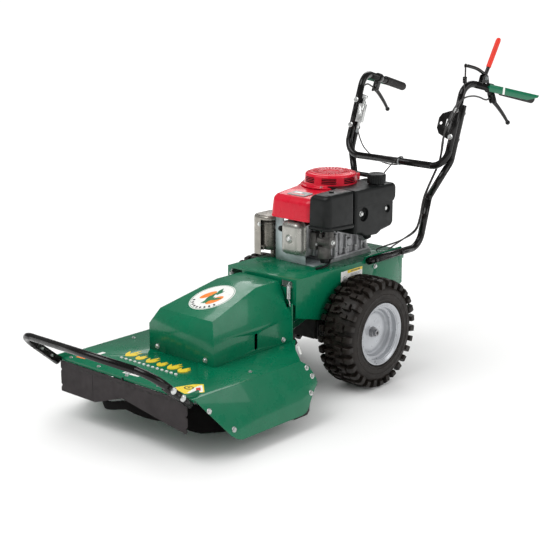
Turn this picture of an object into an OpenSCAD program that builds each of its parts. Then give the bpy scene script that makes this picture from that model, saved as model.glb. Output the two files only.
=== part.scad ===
// Walk-behind brush mower: a rolling deck with a single blade under a belt cover,
// a box frame carrying a vertical-shaft engine over a driven axle, and a two-piece
// tubular handle. Millimetres, +Z up, the operator stands on the +Y side and the
// deck points to -Y. The ground is z = 0.

/* [Drawing] */
// Part to draw

/* [Deck] */
// Width of the flat deck top
deck_w = 652; // [640:2:660]
// Width across the bottom of the flared sides
deck_skirt_w = 782; // [770:2:790]
// Height of the deck top above the ground
deck_z = 216; // [214:1:218]
// Height of the lower edge of the flared sides
skirt_z = 56.5; // [50:0.5:60]
// Front edge of the deck top, ahead of the origin
deck_front = 865; // [860:1:868]
// Sheet thickness of the deck
deck_t = 4; // [3:0.5:5]
// Tip radius of the blade
blade_r = 325; // [300:5:325]
// Distance of the blade spindle ahead of the origin
spindle_y = 528; // [524:1:532]

/* [Belt cover] */
// Width of the cover at the deck
cover_w = 312; // [300:2:320]
// Height where its upright walls end
cover_wall_z = 309; // [300:1:315]
// Height of its flat top
cover_top_z = 425; // [420:1:430]
// Width of its flat top
cover_top_w = 187; // [180:1:200]

/* [Frame] */
// Width over the frame side plates
frame_w = 332; // [328:2:336]
// Height of the engine plate
frame_z = 437; // [430:1:440]
// Sheet thickness of the frame
frame_t = 4; // [3:0.5:5]
// Distance of the wheel axle behind the origin
axle_y = 100; // [95:1:105]
// Distance of the crankshaft behind the origin
crank_y = 185; // [180:1:190]
// Height of the deck roll axis
roll_z = 235; // [233:1:237]

/* [Wheels] */
// Outside radius of the tyres
tyre_r = 203; // [200:1:205]
// Distance of the outer rim edge from the centre
rim_x = 318; // [314:1:322]
// Radius of the rim edge
rim_r = 115.6; // [114:0.2:117]
// Overall width of a tyre
tyre_w = 146; // [140:1:148]

/* [Handles] */
// Outside diameter of the handle tubes
tube_d = 27; // [25:0.5:28]
// Half distance between the upper tubes
handle_x = 243; // [238:1:248]
// Outside diameter of the push bar
bar_d = 25.4; // [24:0.2:27]
// Half width of the push bar
bar_x = 321; // [318:1:323]

/* [Hidden] */
eps = 0.02;
axle_z = tyre_r;
tr = tube_d / 2;
plate_in = frame_w / 2 - frame_t;
tube_x = frame_w / 2 + tr + 0.05;
crank_r = 12.7;
roll_r = 18;
wall = 2.2;
fit = 0.05;
skirt_run = (deck_skirt_w - deck_w) / 2;
skirt_drop = deck_z - skirt_z;
skirt_len = sqrt(skirt_run * skirt_run + skirt_drop * skirt_drop);
skirt_lean = atan2(skirt_run, skirt_drop);
belt_z = 300;
drive_z = 272;
bar_angle = 41;
rise = 0.349;
leg_len = sqrt(1 + rise * rise);

// ---------- helpers ----------

function unit(v) = v / norm(v);

// Places children in the frame with origin c and axes x, y, z
module axes(c, x, y, z) {
  multmatrix([
    [x[0], y[0], z[0], c[0]],
    [x[1], y[1], z[1], c[1]],
    [x[2], y[2], z[2], c[2]],
    [0, 0, 0, 1]
  ]) children();
}

// Round bar from a to b
module bar(a, b, r) {
  v = b - a;
  n = norm(v);
  translate(a) rotate([0, acos(v[2] / n), atan2(v[1], v[0])]) cylinder(h = n, r = r, $fn = 48);
}

// Bend of a round bar around the corner b between a and c, centre line radius rb
module elbow(a, b, c, rb, r) {
  t = unit(b - a);
  s = unit(c - b);
  phi = acos(t * s);
  n = unit(s - (s * t) * t);
  start = b - rb * tan(phi / 2) * t;
  axes(start + rb * n, -n, t, cross(-n, t))
    rotate_extrude(angle = phi, $fn = 72) translate([rb, 0]) circle(r, $fn = 32);
}

function bend_cut(a, b, c, rb) = rb * tan(acos(unit(b - a) * unit(c - b)) / 2);

// Bar through the points p with bend radii rb at the inner points. Each straight
// length runs a little into its bends, which are a hair thinner.
module bent_bar(p, rb, r) {
  last = len(p) - 1;
  for (i = [0 : last - 1]) {
    d = unit(p[i + 1] - p[i]);
    cut_a = i == 0 ? 0 : bend_cut(p[i - 1], p[i], p[i + 1], rb[i - 1]) - 1;
    cut_b = i == last - 1 ? 0 : bend_cut(p[i], p[i + 1], p[i + 2], rb[i]) - 1;
    bar(p[i] + cut_a * d, p[i + 1] - cut_b * d, r);
  }
  for (i = [1 : last - 1]) elbow(p[i - 1], p[i], p[i + 1], rb[i - 1], r - 0.05);
}

module bent_tube(p, rb, r, ri) {
  difference() {
    bent_bar(p, rb, r);
    bent_bar(p, rb, ri);
  }
}

// Mirrors a point to the operator's right
function other(p) = [-p[0], p[1], p[2]];

// Draws children on the operator's left (s > 0) or mirrored to the right
module side(s) {
  if (s > 0) children();
  else mirror([1, 0, 0]) children();
}

module both() {
  children();
  mirror([1, 0, 0]) children();
}

// Plate of thickness t lying in a YZ plane, its outline drawn as (y, z)
module side_plate(x, t) {
  translate([x, 0, 0]) rotate([90, 0, 90]) linear_extrude(t) children();
}

// Plate of thickness t lying in an XZ plane, its outline drawn as (x, z)
module cross_plate(y, t) {
  translate([0, y + t, 0]) rotate([90, 0, 0]) linear_extrude(t) children();
}

// Hexagon-headed bolt along +Z, head below z = 0, shank of length l above
module bolt(r, l) {
  translate([0, 0, -r * 1.3]) cylinder(h = r * 1.3, r = r * 1.8, $fn = 6);
  if (l > 0) cylinder(h = l, r = r, $fn = 32);
}

// ---------- frame ----------

side_outline = [
  [-200, 299], [-41, 258], [30, 258], [50, 160], [150, 160], [170, 258], [330, 258],
  [418, 310], [418, frame_z], [410, 451], [190, 451], [180, frame_z], [-200, frame_z]
];

handle_bolt_y = [225, 385];
side_holes = [[axle_y, axle_z, 16], [225, 436, 4.3], [385, 436, 4.3], [248, 404, 4.3]];
idler_pivot = [-128, 44];

module rear_frame() {
  color("darkgreen") {
    difference() {
      translate([-plate_in, -200, frame_z - frame_t]) cube([2 * plate_in, 618, frame_t]);
      translate([0, crank_y, frame_z - 20]) cylinder(h = 40, r = 60, $fn = 64);
    }
    both() difference() {
      side_plate(plate_in, frame_t) polygon(side_outline);
      for (p = side_holes)
        translate([plate_in - 10, p[0], p[1]]) rotate([0, 90, 0])
          cylinder(h = 40, r = p[2], $fn = 48);
    }
    cross_plate(-200, frame_t) difference() {
      translate([-plate_in, 345]) square([2 * plate_in, frame_z - frame_t - 345]);
      for (s = [-1, 1]) translate([s * 121 - 26, 404]) square([52, 25]);
    }
    cross_plate(414, frame_t)
      translate([-plate_in, 312]) square([2 * plate_in, frame_z - frame_t - 312]);
    for (y = [-168, -82])
      difference() {
        cross_plate(y, 6) polygon([
          [-plate_in, 345], [-plate_in, 300], [-42, 204], [42, 204],
          [plate_in, 300], [plate_in, 345], [92, 345], [92, 274], [-92, 274], [-92, 345]
        ]);
        translate([0, y - 10, roll_z]) rotate([-90, 0, 0]) cylinder(h = 30, r = 25, $fn = 48);
      }
    difference() {
      translate([0, -180, roll_z]) rotate([-90, 0, 0]) cylinder(h = 120, r = 30, $fn = 64);
      translate([0, -181, roll_z]) rotate([-90, 0, 0])
        cylinder(h = 122, r = roll_r + fit, $fn = 64);
    }
    both() translate([146, 418, 402]) cube([16, 14, 26]);
    translate([idler_pivot[0], idler_pivot[1], belt_z + 20])
      cylinder(h = frame_z - frame_t - belt_z - 20, r = 11, $fn = 48);
    translate([idler_pivot[0], idler_pivot[1], belt_z])
      cylinder(h = 24, r = 6, $fn = 48);
  }
}

module frame_bolts() {
  color("silver") both() {
    translate([frame_w / 2, 248, 404]) rotate([0, -90, 0]) bolt(4, 4.6);
    for (y = handle_bolt_y)
      translate([tube_x + tr, y, 436]) rotate([0, -90, 0]) bolt(4, tube_d + 4);
    for (z = joint_z)
      translate([handle_x, leg_y(z), z]) rotate([-90 - lean, 0, 0]) {
        translate([0, 0, -tr - 5]) cylinder(h = 5, r = 9, $fn = 48);
        translate([0, 0, -tr]) cylinder(h = 4 * tr + 10, r = 4.1, $fn = 32);
        translate([0, 0, 3 * tr + 2 * fit]) difference() {
          cylinder(h = 7, r = 8, $fn = 6);
          translate([0, 0, -1]) cylinder(h = 9, r = 4.1, $fn = 32);
        }
      }
  }
}

// ---------- drive ----------

module transaxle() {
  color("dimgray") difference() {
    union() {
      translate([-62, 20, 150]) cube([124, 140, 96]);
      for (y = [34 : 14 : 146]) translate([-66, y, 146]) cube([132, 5, 104]);
      translate([-plate_in, axle_y, axle_z]) rotate([0, 90, 0])
        cylinder(h = 2 * plate_in, r = 24, $fn = 48);
      for (s = [-1, 1])
        translate([s * plate_in, axle_y, axle_z]) rotate([0, -s * 90, 0])
          cylinder(h = 8, r = 36, $fn = 48);
      translate([0, 50, 246]) cylinder(h = 12, r = 22, $fn = 48);
    }
    translate([-200, axle_y, axle_z]) rotate([0, 90, 0])
      cylinder(h = 400, r = crank_r + fit, $fn = 64);
    translate([0, 50, 228]) cylinder(h = 60, r = 9 + fit, $fn = 48);
    translate([0, 50, 226]) cylinder(h = 20, r = 12, $fn = 48);
  }
}

// V-belt pulley: groove radius r at height 0, groove height h
module pulley(r, h, hub, bore) {
  difference() {
    union() {
      translate([0, 0, -h / 2 - 3]) cylinder(h = 3, r = r + 7, $fn = 96);
      translate([0, 0, -h / 2]) cylinder(h = h, r = r, $fn = 96);
      translate([0, 0, h / 2]) cylinder(h = 3, r = r + 7, $fn = 96);
      translate([0, 0, -h / 2 - 6]) cylinder(h = h + 12, r = hub, $fn = 64);
    }
    translate([0, 0, -h - 1]) cylinder(h = 3 * h, r = bore, $fn = 64);
  }
}

module transaxle_pulley() {
  color("gray") {
    translate([0, 50, drive_z]) pulley(48, 11, 20, 8);
    translate([0, 50, 230]) cylinder(h = 58, r = 9, $fn = 48);
    translate([0, 50, 230]) cylinder(h = 8, r = 11, $fn = 48);
  }
}

// Region enclosed by a belt around two circles on the Y axis
module belt_area(ya, ra, yb, rb) {
  d = abs(yb - ya);
  a = asin((rb - ra) / d);
  k = yb > ya ? -sin(a) : sin(a);
  p = ra - 0.02;
  q = rb - 0.02;
  translate([0, ya]) circle(ra, $fn = 120);
  translate([0, yb]) circle(rb, $fn = 120);
  polygon([
    [p * cos(a), ya + p * k], [q * cos(a), yb + q * k],
    [-q * cos(a), yb + q * k], [-p * cos(a), ya + p * k]
  ]);
}

module belt(ya, ra, yb, rb, t, h) {
  difference() {
    linear_extrude(h) belt_area(ya, ra + t, yb, rb + t);
    translate([0, 0, -1]) linear_extrude(h + 2) belt_area(ya, ra, yb, rb);
  }
}

module traction_belt() {
  color("black") translate([0, 0, drive_z - 5]) belt(crank_y, 32, 50, 48, 6, 10);
}

module blade_belt() {
  color("black") translate([0, 0, belt_z - 6]) belt(crank_y, 52, -spindle_y, 60, 7, 12);
}

module drive_pulleys() {
  color("gray") {
    translate([0, crank_y, belt_z]) pulley(52, 13, 22, crank_r);
    translate([0, crank_y, drive_z]) pulley(32, 11, 18, crank_r);
  }
}

module crankshaft() {
  color("silver") {
    translate([0, crank_y, 256]) cylinder(h = 404, r = crank_r, $fn = 64);
    translate([0, crank_y, 250]) cylinder(h = 6, r = 18, $fn = 6);
    translate([0, crank_y, 500]) cylinder(h = 14, r = 44, $fn = 64);
    translate([0, crank_y, 536]) cylinder(h = 14, r = 44, $fn = 64);
    translate([0, crank_y + 24, 514]) cylinder(h = 22, r = 15, $fn = 48);
  }
}

module flywheel_fan() {
  color("dimgray") translate([0, crank_y, 0]) {
    difference() {
      union() {
        translate([0, 0, 618]) cylinder(h = 26, r = 96, $fn = 96);
        translate([0, 0, 644]) cylinder(h = 16, r = 30, $fn = 64);
        for (i = [0 : 15]) rotate([0, 0, i * 22.5 + 6]) translate([50, -2, 640])
          rotate([0, 0, 18]) cube([44, 4, 38]);
      }
      translate([0, 0, 600]) cylinder(h = 80, r = crank_r, $fn = 64);
    }
    translate([0, 0, 660]) cylinder(h = 12, r = 14, $fn = 6);
  }
}

// ---------- wheels ----------

module axle_half(s) {
  color("dimgray") {
    translate([s * 8, axle_y, axle_z]) rotate([0, s * 90, 0])
      cylinder(h = 289, r = crank_r, $fn = 64);
    translate([s * 226, axle_y, axle_z]) rotate([0, s * 90, 0]) difference() {
      union() {
        cylinder(h = 46, r = 22, $fn = 64);
        translate([0, 0, 38]) cylinder(h = 8, r = 58, $fn = 64);
      }
      translate([0, 0, -1]) cylinder(h = 60, r = crank_r, $fn = 64);
    }
    for (i = [0 : 3]) translate([s * 272, axle_y, axle_z]) rotate([0, s * 90, 0])
      rotate([0, 0, i * 90 + 45]) translate([42, 0, 3]) cylinder(h = 9, r = 7, $fn = 6);
  }
}

module axle_left() axle_half(1);

module axle_right() axle_half(-1);

// Revolved about the axle; profile drawn as (radius, distance from the centre)
module wheel_spin(s) {
  translate([0, axle_y, axle_z]) rotate([0, s * 90, 0])
    rotate_extrude($fn = 144) children();
}

rim_in = rim_x - 130;

module rim(s) {
  color("silver") wheel_spin(s) {
    difference() {
      union() {
        translate([98, rim_in]) square([3.5, 130]);
        translate([88, rim_in + 42]) square([12, 46]);
      }
      translate([84, rim_in + 46]) square([12, 38]);
    }
    for (x = [rim_in, rim_x - 4]) translate([98, x]) square([rim_r - 98, 4]);
    translate([20, 272]) square([50, 3]);
    polygon([[70, 272], [98, 285], [98, 289], [70, 275]]);
  }
}

module rim_left() rim(1);

module rim_right() rim(-1);

module tyre(s) {
  x0 = rim_x + 4 - tyre_w;
  x1 = rim_x + 4;
  color("#302a26") wheel_spin(s) polygon([
    [101.6, rim_in + 4.1], [116, rim_in + 4.1], [122, x0 + 7], [140, x0 + 1], [158, x0],
    [174, x0 + 2], [184, x0 + 8], [193, x0 + 16], [199, x0 + 30], [202, x0 + 48],
    [tyre_r, (x0 + x1) / 2], [202, x1 - 48], [199, x1 - 30], [193, x1 - 16],
    [184, x1 - 8], [174, x1 - 2], [158, x1], [140, x1 - 1], [122, x1 - 5],
    [116, x1 - 4.1 - 4], [101.6, x1 - 4.1 - 4], [101.6, x1 - 18], [116, x1 - 16],
    [140, x1 - 12], [160, x1 - 13], [176, x1 - 18], [185, x1 - 32], [190, x1 - 56],
    [190, x0 + 56], [185, x0 + 32], [176, x0 + 18], [160, x0 + 13], [140, x0 + 13],
    [116, x0 + 24], [101.6, x0 + 30]
  ]);
}

module tyre_left() tyre(1);

module tyre_right() tyre(-1);

// ---------- engine ----------

module crankcase() {
  color("silver") difference() {
    union() {
      translate([-108, 68, frame_z]) cube([206, 240, 12]);
      translate([-96, 78, frame_z + 12]) cube([184, 217, 108]);
      translate([0, crank_y, frame_z + 12]) cylinder(h = 151, r = 92, $fn = 96);
      for (x = [-84, 76], y = [90, 286])
        translate([x, y, frame_z + 120]) cylinder(h = 43, r = 9, $fn = 32);
      translate([88, 262, 500]) rotate([0, 60, 0]) cylinder(h = 22, r = 15, $fn = 48);
    }
    translate([0, crank_y, frame_z - 1]) cylinder(h = 200, r = crank_r + fit, $fn = 64);
    translate([0, crank_y, 496]) cylinder(h = 58, r = 62, $fn = 96);
    translate([0, crank_y, 525]) rotate([90, 0, 0]) cylinder(h = 140, r = 40, $fn = 64);
    translate([88, 262, 500]) rotate([0, 60, 0]) translate([0, 0, -6])
      cylinder(h = 40, r = 9.1, $fn = 32);
  }
}

module cylinder_head() {
  color("silver") {
    difference() {
      union() {
        translate([0, 78, 525]) rotate([90, 0, 0]) cylinder(h = 66, r = 50, $fn = 64);
        for (y = [18 : 11 : 73]) translate([-64, y, 470]) cube([128, 4, 122]);
        translate([-58, -22, 474]) cube([116, 34, 114]);
      }
      translate([0, 80, 525]) rotate([90, 0, 0]) cylinder(h = 62, r = 40, $fn = 64);
    }
    translate([-106, 4, 556]) rotate([0, 90, 0]) cylinder(h = 48, r = 14, $fn = 48);
  }
}

module valve_cover() {
  color("silver") {
    cross_plate(-25, 3) rounded(10, 538, 98, 132, 26);
    cross_plate(-52, 27) rounded(10, 538, 86, 120, 24);
    cross_plate(-62, 10) rounded(10, 540, 60, 92, 22);
    translate([10, -62, 540]) rotate([-90, 0, 0]) translate([0, 0, -5])
      cylinder(h = 5, r = 8, $fn = 6);
  }
}

// Rounded rectangle centred on (cx, cy), size w by h, corner radius r
module rounded(cx, cy, w, h, r) {
  translate([cx, cy]) {
    square([w - 2 * r, h], center = true);
    square([w, h - 2 * r], center = true);
    for (x = [-1, 1], y = [-1, 1])
      translate([x * (w / 2 - r), y * (h / 2 - r)]) circle(r, $fn = 48);
  }
}

module heat_shield() {
  color("gainsboro") {
    cross_plate(-14, 2) difference() {
      translate([-98, frame_z]) square([145, 160]);
      translate([-60, 470]) square([120, 200]);
    }
    translate([-98, -12, frame_z]) cube([185, 76, 3]);
  }
}

module muffler() {
  color("gray") {
    translate([0, 0, 466]) linear_extrude(118) rounded(-146, 14, 80, 96, 26);
    for (z = [472, 576]) translate([0, 0, z]) linear_extrude(5) rounded(-146, 14, 83, 99, 27);
    translate([-138, -34, 466]) rotate([90, 0, 0]) cylinder(h = 14, r = 11, $fn = 32);
    translate([-122, 0, frame_z]) cylinder(h = 29, r = 8, $fn = 24);
    translate([-122, 40, frame_z]) cylinder(h = 29, r = 8, $fn = 24);
  }
}

module muffler_guard() {
  color("darkgray") {
    translate([0, 0, 452]) linear_extrude(146) difference() {
      rounded(-146, 12, 96, 118, 30);
      rounded(-146, 12, 92, 114, 28);
      translate([-150, -60]) square([80, 140]);
    }
    translate([0, 0, 598]) linear_extrude(3) rounded(-146, 12, 96, 118, 30);
    for (y = [-6, 22]) translate([-193, y, 520]) cube([7, 12, 3]);
  }
}

module carburettor() {
  color("silver") {
    translate([64, -8, 500]) cube([26, 50, 62]);
    translate([90, 16, 532]) rotate([0, 90, 0]) cylinder(h = 44, r = 20, $fn = 48);
    translate([112, 16, 470]) cylinder(h = 44, r = 24, $fn = 48);
    translate([134, 16, 532]) cube([34, 34, 40], center = true);
    translate([134, 16, 548]) cylinder(h = 52, r = 17, $fn = 48);
    translate([100, 0, 546]) cube([12, 34, 16]);
  }
}

shroud_clear = 143;

module air_cleaner_cover() {
  color("#222222") difference() {
    union() {
      side_plate(104, 86) polygon([
        [-58, 592], [-62, 604], [-62, 700], [-52, 718],
        [84, 718], [93, 706], [93, 586], [88, 582]
      ]);
      side_plate(107, 86) polygon([[-64, 588], [-64, 597], [93, 589], [93, 580]]);
    }
    translate([0, crank_y, 560]) cylinder(h = 200, r = shroud_clear, $fn = 128);
    translate([134, 16, 570]) cylinder(h = 30, r = 17 + fit, $fn = 48);
  }
}

module fuel_tank() {
  color("#1c1c1c") difference() {
    union() {
      side_plate(56, 134) polygon([
        [98, 552], [136, 550], [158, 535], [232, 528], [246, 540], [318, 550],
        [329, 562], [329, 640], [98, 640]
      ]);
      side_plate(54, 138) polygon([[98, 640], [339, 640], [342, 650], [342, 694], [328, 714], [98, 714]]);
      translate([160, 255, 714]) cylinder(h = 10, r = 26, $fn = 64);
    }
    translate([0, crank_y, 500]) cylinder(h = 300, r = shroud_clear, $fn = 128);
    translate([160, 255, 600]) cylinder(h = 140, r = 18, $fn = 64);
    translate([180, 120, 624]) rotate([0, 90, 0]) cylinder(h = 20, r = 17, $fn = 48);
  }
}

module fuel_cap() {
  color("#1c1c1c") difference() {
    union() {
      translate([160, 255, 717]) cylinder(h = 38, r = 34, $fn = 96);
      for (i = [0 : 17]) translate([160, 255, 720]) rotate([0, 0, i * 20])
        translate([34, 0, 0]) cylinder(h = 30, r = 2, $fn = 16);
    }
    translate([160, 255, 716]) cylinder(h = 9, r = 26 + fit, $fn = 64);
  }
}

module oil_cap() {
  color("#1c1c1c") translate([88, 262, 500]) rotate([0, 60, 0]) {
    translate([0, 0, 22]) cylinder(h = 14, r = 17, $fn = 48);
    translate([0, 0, -4]) cylinder(h = 26, r = 9 + fit, $fn = 32);
    translate([-3, -14, 36]) cube([6, 28, 8]);
  }
}

// Front box of the shroud, drawn g inside its outer faces
module shroud_box(g) {
  intersection() {
    translate([-101 + g, -50 + g, 606 - g]) cube([203 - 2 * g, 236, 100]);
    side_plate(-120, 240) polygon([
      [-50 + g, 600], [-50 + g, 672 - g * 0.5], [-38 + g * 0.6, 688 - g],
      [90, 704 - g], [190, 704 - g], [190, 600]
    ]);
  }
}

module fan_shroud() {
  color("#c81e2d") {
    difference() {
      union() {
        translate([0, crank_y, 612]) cylinder(h = 90, r = 138, $fn = 128);
        translate([0, crank_y, 702]) cylinder(h = 4, r1 = 138, r2 = 132, $fn = 128);
        shroud_box(0);
      }
      translate([0, crank_y, 600]) cylinder(h = 102, r = 134.5, $fn = 128);
      translate([0, 0, -1]) shroud_box(3);
      translate([0, crank_y, 600]) cylinder(h = 130, r = 82, $fn = 96);
    }
    for (x = [-84, 76], y = [90, 286]) difference() {
      intersection() {
        translate([x < 0 ? x - 34 : x - 9, y - 9, 600]) cube([43, 18, 12.5]);
        translate([0, crank_y, 598]) cylinder(h = 20, r = 138, $fn = 128);
      }
      translate([x, y, 590]) cylinder(h = 40, r = 3.3, $fn = 24);
    }
  }
}

module recoil_housing() {
  color("#c81e2d") translate([0, crank_y, 0]) difference() {
    union() {
      translate([0, 0, 706]) cylinder(h = 4, r = 112, $fn = 128);
      translate([0, 0, 710]) cylinder(h = 34, r1 = 99, r2 = 95, $fn = 128);
      translate([0, 0, 744]) cylinder(h = 11, r1 = 95, r2 = 74, $fn = 128);
      translate([12, 70, 714]) cube([36, 42, 26]);
    }
    translate([0, 0, 700]) cylinder(h = 42, r = 90, $fn = 128);
    for (i = [0 : 23]) rotate([0, 0, i * 15]) translate([44, -2.5, 738]) cube([26, 5, 30]);
    translate([30, 60, 727]) rotate([-90, 0, 0]) cylinder(h = 60, r = 5, $fn = 32);
  }
}

module starter_cord() {
  color("white") translate([30, crank_y + 76, 727]) rotate([-90, 0, 0])
    cylinder(h = 40, r = 2, $fn = 24);
}

module starter_grip() {
  color("#1c1c1c") translate([30, crank_y + 116, 727]) {
    rotate([-90, 0, 0]) cylinder(h = 14, r = 9, $fn = 32);
    translate([-36, 22, 0]) rotate([0, 90, 0]) cylinder(h = 72, r = 9, $fn = 48);
  }
}

// ---------- handles ----------

function leg_y(z) = 613 + (z - 853.5) * rise;

lower_path = [
  [tube_x, 195, 436], [tube_x, 505, 436], [tube_x, 562, 622],
  [handle_x, leg_y(762) + (tube_d + fit) * leg_len, 762],
  [handle_x, leg_y(966) + (tube_d + fit) * leg_len, 966]
];
apex = [handle_x, leg_y(1060), 1060];
grip_end = [319, 1046, 967];
grip_dir = unit(grip_end - apex);
lean = atan(rise);

joint_z = [951, 853.5];

module through_joint(r) {
  for (z = joint_z)
    translate([handle_x, leg_y(z), z]) rotate([-90 - lean, 0, 0])
      translate([0, 0, -60]) cylinder(h = 160, r = r, $fn = 32);
}

module lower_tube() {
  color("#151515") {
    difference() {
      bent_tube(lower_path, [70, 60, 60], tr, tr - wall);
      through_joint(4.2);
      for (y = handle_bolt_y)
        translate([150, y, 436]) rotate([0, 90, 0]) cylinder(h = 60, r = 4.2, $fn = 32);
    }
    bar(lower_path[4], lower_path[4] + 4 * unit(lower_path[4] - lower_path[3]), tr);
    bar(lower_path[0] - [0, 4, 0], lower_path[0], tr);
  }
}

module handle_lower_left() lower_tube();

module handle_lower_right() side(-1) lower_tube();

upper_path = concat(
  [other(grip_end), other(apex), [-handle_x, leg_y(743), 743]],
  [[handle_x, leg_y(743), 743], apex, grip_end]
);

module handle_upper() {
  color("#151515") difference() {
    bent_tube(upper_path, [60, 66, 66, 60], tr, tr - wall);
    both() through_joint(4.2);
  }
}

function grip_at(d) = grip_end - d * grip_dir;

module grip() {
  color("#26221f") difference() {
    bar(grip_at(176), grip_at(-8), 17.5);
    bar(grip_at(180), grip_at(-fit), tr + fit);
  }
}

module grip_left() grip();

module grip_right() side(-1) grip();

guard_a = [298, 769, 1020];
guard_b = [334, 1040, 958];

module guard() {
  d = unit(guard_b - guard_a);
  n = unit(cross(d, [0, 0, 1]));
  axes(guard_a, d, cross(n, d), n)
    linear_extrude(4) polygon([[0, 6], [6, 0], [238, 0], [300, 18], [306, 28], [0, 28]]);
}

module hand_guards() {
  color("darkgreen") both() difference() {
    union() {
      guard();
      bar([270, 797, 1032], [303, 793, 1032], 5);
    }
    bar(grip_at(400), grip_at(100), tr + fit);
    bar(grip_at(180), grip_at(-12), 17.5 + fit);
  }
}

// Frame on an upper tube leg: z up the leg, y to the rear
module leg_frame(x, z) {
  axes([x, leg_y(z), z], [1, 0, 0], [0, cos(lean), -sin(lean)], [0, sin(lean), cos(lean)])
    children();
}

module control_plate(w) {
  leg_frame(handle_x, 900) difference() {
    translate([0, 1.5, 0]) rotate([90, 0, 0]) linear_extrude(3) polygon([
      [0, -56], [0, 54], [-28, 54], [-w + 12, 40], [-w, 22], [-w, -18], [-w + 14, -40], [-24, -56]
    ]);
    cylinder(h = 400, r = tr + fit, center = true, $fn = 48);
    translate([-w + 14, 0, 2]) rotate([90, 0, 0]) cylinder(h = 20, r = 6.1, center = true, $fn = 48);
    translate([-42, -10, -10]) cube([12, 20, 30]);
  }
}

module control_plates() {
  color("#151515") {
    control_plate(78);
    side(-1) control_plate(48);
  }
}

module throttle_frame() {
  leg_frame(-handle_x + 36, 900) children();
}

module throttle_body() {
  color("gainsboro") throttle_frame() {
    difference() {
      translate([-16, -13.5, -34]) cube([32, 12, 74]);
      translate([8, 0, 14]) rotate([90, 0, 0])
        cylinder(h = 60, r = 4 + fit, center = true, $fn = 32);
    }
    translate([0, -7.5, -60]) cylinder(h = 26, r = 5, $fn = 32);
  }
}

module throttle_lever() {
  color("gainsboro") throttle_frame() translate([8, 0, 14]) {
    translate([0, -2, 0]) rotate([90, 0, 0]) cylinder(h = 16, r = 4, $fn = 32);
    translate([-5, -17, -5]) cube([10, 3, 60]);
    translate([-9, -21, 48]) cube([18, 12, 12]);
  }
}

lever_pivot = [287, 818, 978];
lever_tip = [297, 917, 884];

module lever_clamps() {
  color("#26221f") both() {
    difference() {
      union() {
        bar(grip_at(245), grip_at(213), 19);
        translate([lever_pivot[0] - 11, 802, 966]) cube([22, 36, 46]);
      }
      bar(grip_at(300), grip_at(100), tr + fit);
      translate([lever_pivot[0] - 6, 796, 950]) cube([13.5, 60, 42]);
      translate([lever_pivot[0] - 20, lever_pivot[1], lever_pivot[2]])
        rotate([0, 90, 0]) cylinder(h = 40, r = 4 + fit, $fn = 32);
    }
  }
  color("#26221f") difference() {
    for (x = [-10, 7]) side_plate(blade_pivot[0] + x, 3) difference() {
      polygon([[762, 1036], [812, 1026], [804, 1076], [778, 1078]]);
      translate([blade_pivot[1], blade_pivot[2]]) circle(4 + fit, $fn = 32);
    }
    bar(apex, grip_end, tr + fit);
  }
}

module brake_lever() {
  p = lever_pivot;
  q = lever_tip;
  color("#1c1c1c") {
    translate(p - [9, 0, 0]) rotate([0, 90, 0]) cylinder(h = 18, r = 4, $fn = 32);
    translate(p - [5, 0, 0]) rotate([0, 90, 0]) cylinder(h = 10, r = 9, $fn = 48);
    bar(p + 0.03 * (q - p), q, 4.8);
    translate(q) sphere(8.5, $fn = 48);
  }
}

module brake_lever_left() brake_lever();

module brake_lever_right() side(-1) brake_lever();

blade_pivot = [262, 790, 1066];
blade_hook = [262, 676, 1122];

module blade_lever() {
  p = blade_pivot;
  color("#1c1c1c") {
    translate(p - [14, 0, 0]) rotate([0, 90, 0]) cylinder(h = 28, r = 4, $fn = 32);
    bar(p, [262, 775, 1090], 5.5);
    bar([262, 775, 1090], [262, 824, 1118], 5);
    translate([255, 775, 1090]) rotate([0, 90, 0]) cylinder(h = 14, r = 7, $fn = 48);
    bar([262, 779, 1084], blade_hook, 4.4);
    translate(blade_hook - [14, 0, 0]) rotate([0, 90, 0]) cylinder(h = 19, r = 4, $fn = 32);
  }
  color("#dc3c2d") bar([262, 818, 1108], [262, 884, 1212], 11);
}

module clutch_link() {
  h = blade_hook;
  color("#1c1c1c") difference() {
    union() {
      translate(h - [12, 0, 0]) rotate([0, 90, 0]) cylinder(h = 3, r = 8, $fn = 32);
      translate(h - [12, 3, 52]) cube([3, 6, 50]);
      translate(h - [12, 0, 66]) cylinder(h = 24, r = 8, $fn = 32);
    }
    translate(h - [20, 0, 0]) rotate([0, 90, 0]) cylinder(h = 30, r = 4 + fit, $fn = 32);
  }
}

module control_cables() {
  color("#333333") {
    both() bent_bar([
      [286, 797, 990], [284, 752, 1004], [225, 690, 960], [205, 650, 820],
      [185, 604, 740], [70, 395, 560], [70, 395, frame_z]
    ], [22, 40, 60, 60, 40], 2.5);
    bent_bar([
      [-207, 602.4, 845.1], [-205, 606, 770], [-160, 596, 700], [-54, 395, 560],
      [-54, 395, frame_z]
    ], [60, 60, 40], 2);
  }
}

// ---------- deck ----------

// Sits children on the outer face of the left skirt: x to the rear, y down the slope
module skirt_frame() {
  axes([deck_w / 2, 0, deck_z], [0, 1, 0], [sin(skirt_lean), 0, -cos(skirt_lean)],
       [-cos(skirt_lean), 0, -sin(skirt_lean)]) children();
}

module skirt() {
  skirt_frame() linear_extrude(deck_t) polygon([
    [-deck_front + 0.7, 1], [-756, skirt_len - 24], [-735, skirt_len - 7], [-714, skirt_len],
    [-424, skirt_len], [-402, skirt_len - 5],
    [-388, skirt_len - 14], [-342, skirt_len - 60], [-318, skirt_len - 78], [-310, 86],
    [-310, 72], [-328, 24], [-359, 1]
  ]);
}

module deck_outline(g) {
  polygon([
    [-deck_w / 2 + g, -deck_front + g], [deck_w / 2 - g, -deck_front + g],
    [deck_w / 2 - g, -360 - g / 2], [156 - g / 2, -212 - g], [156 - g / 2, -192 - g],
    [-156 + g / 2, -192 - g], [-156 + g / 2, -212 - g], [-deck_w / 2 + g, -360 - g / 2]
  ]);
}

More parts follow.
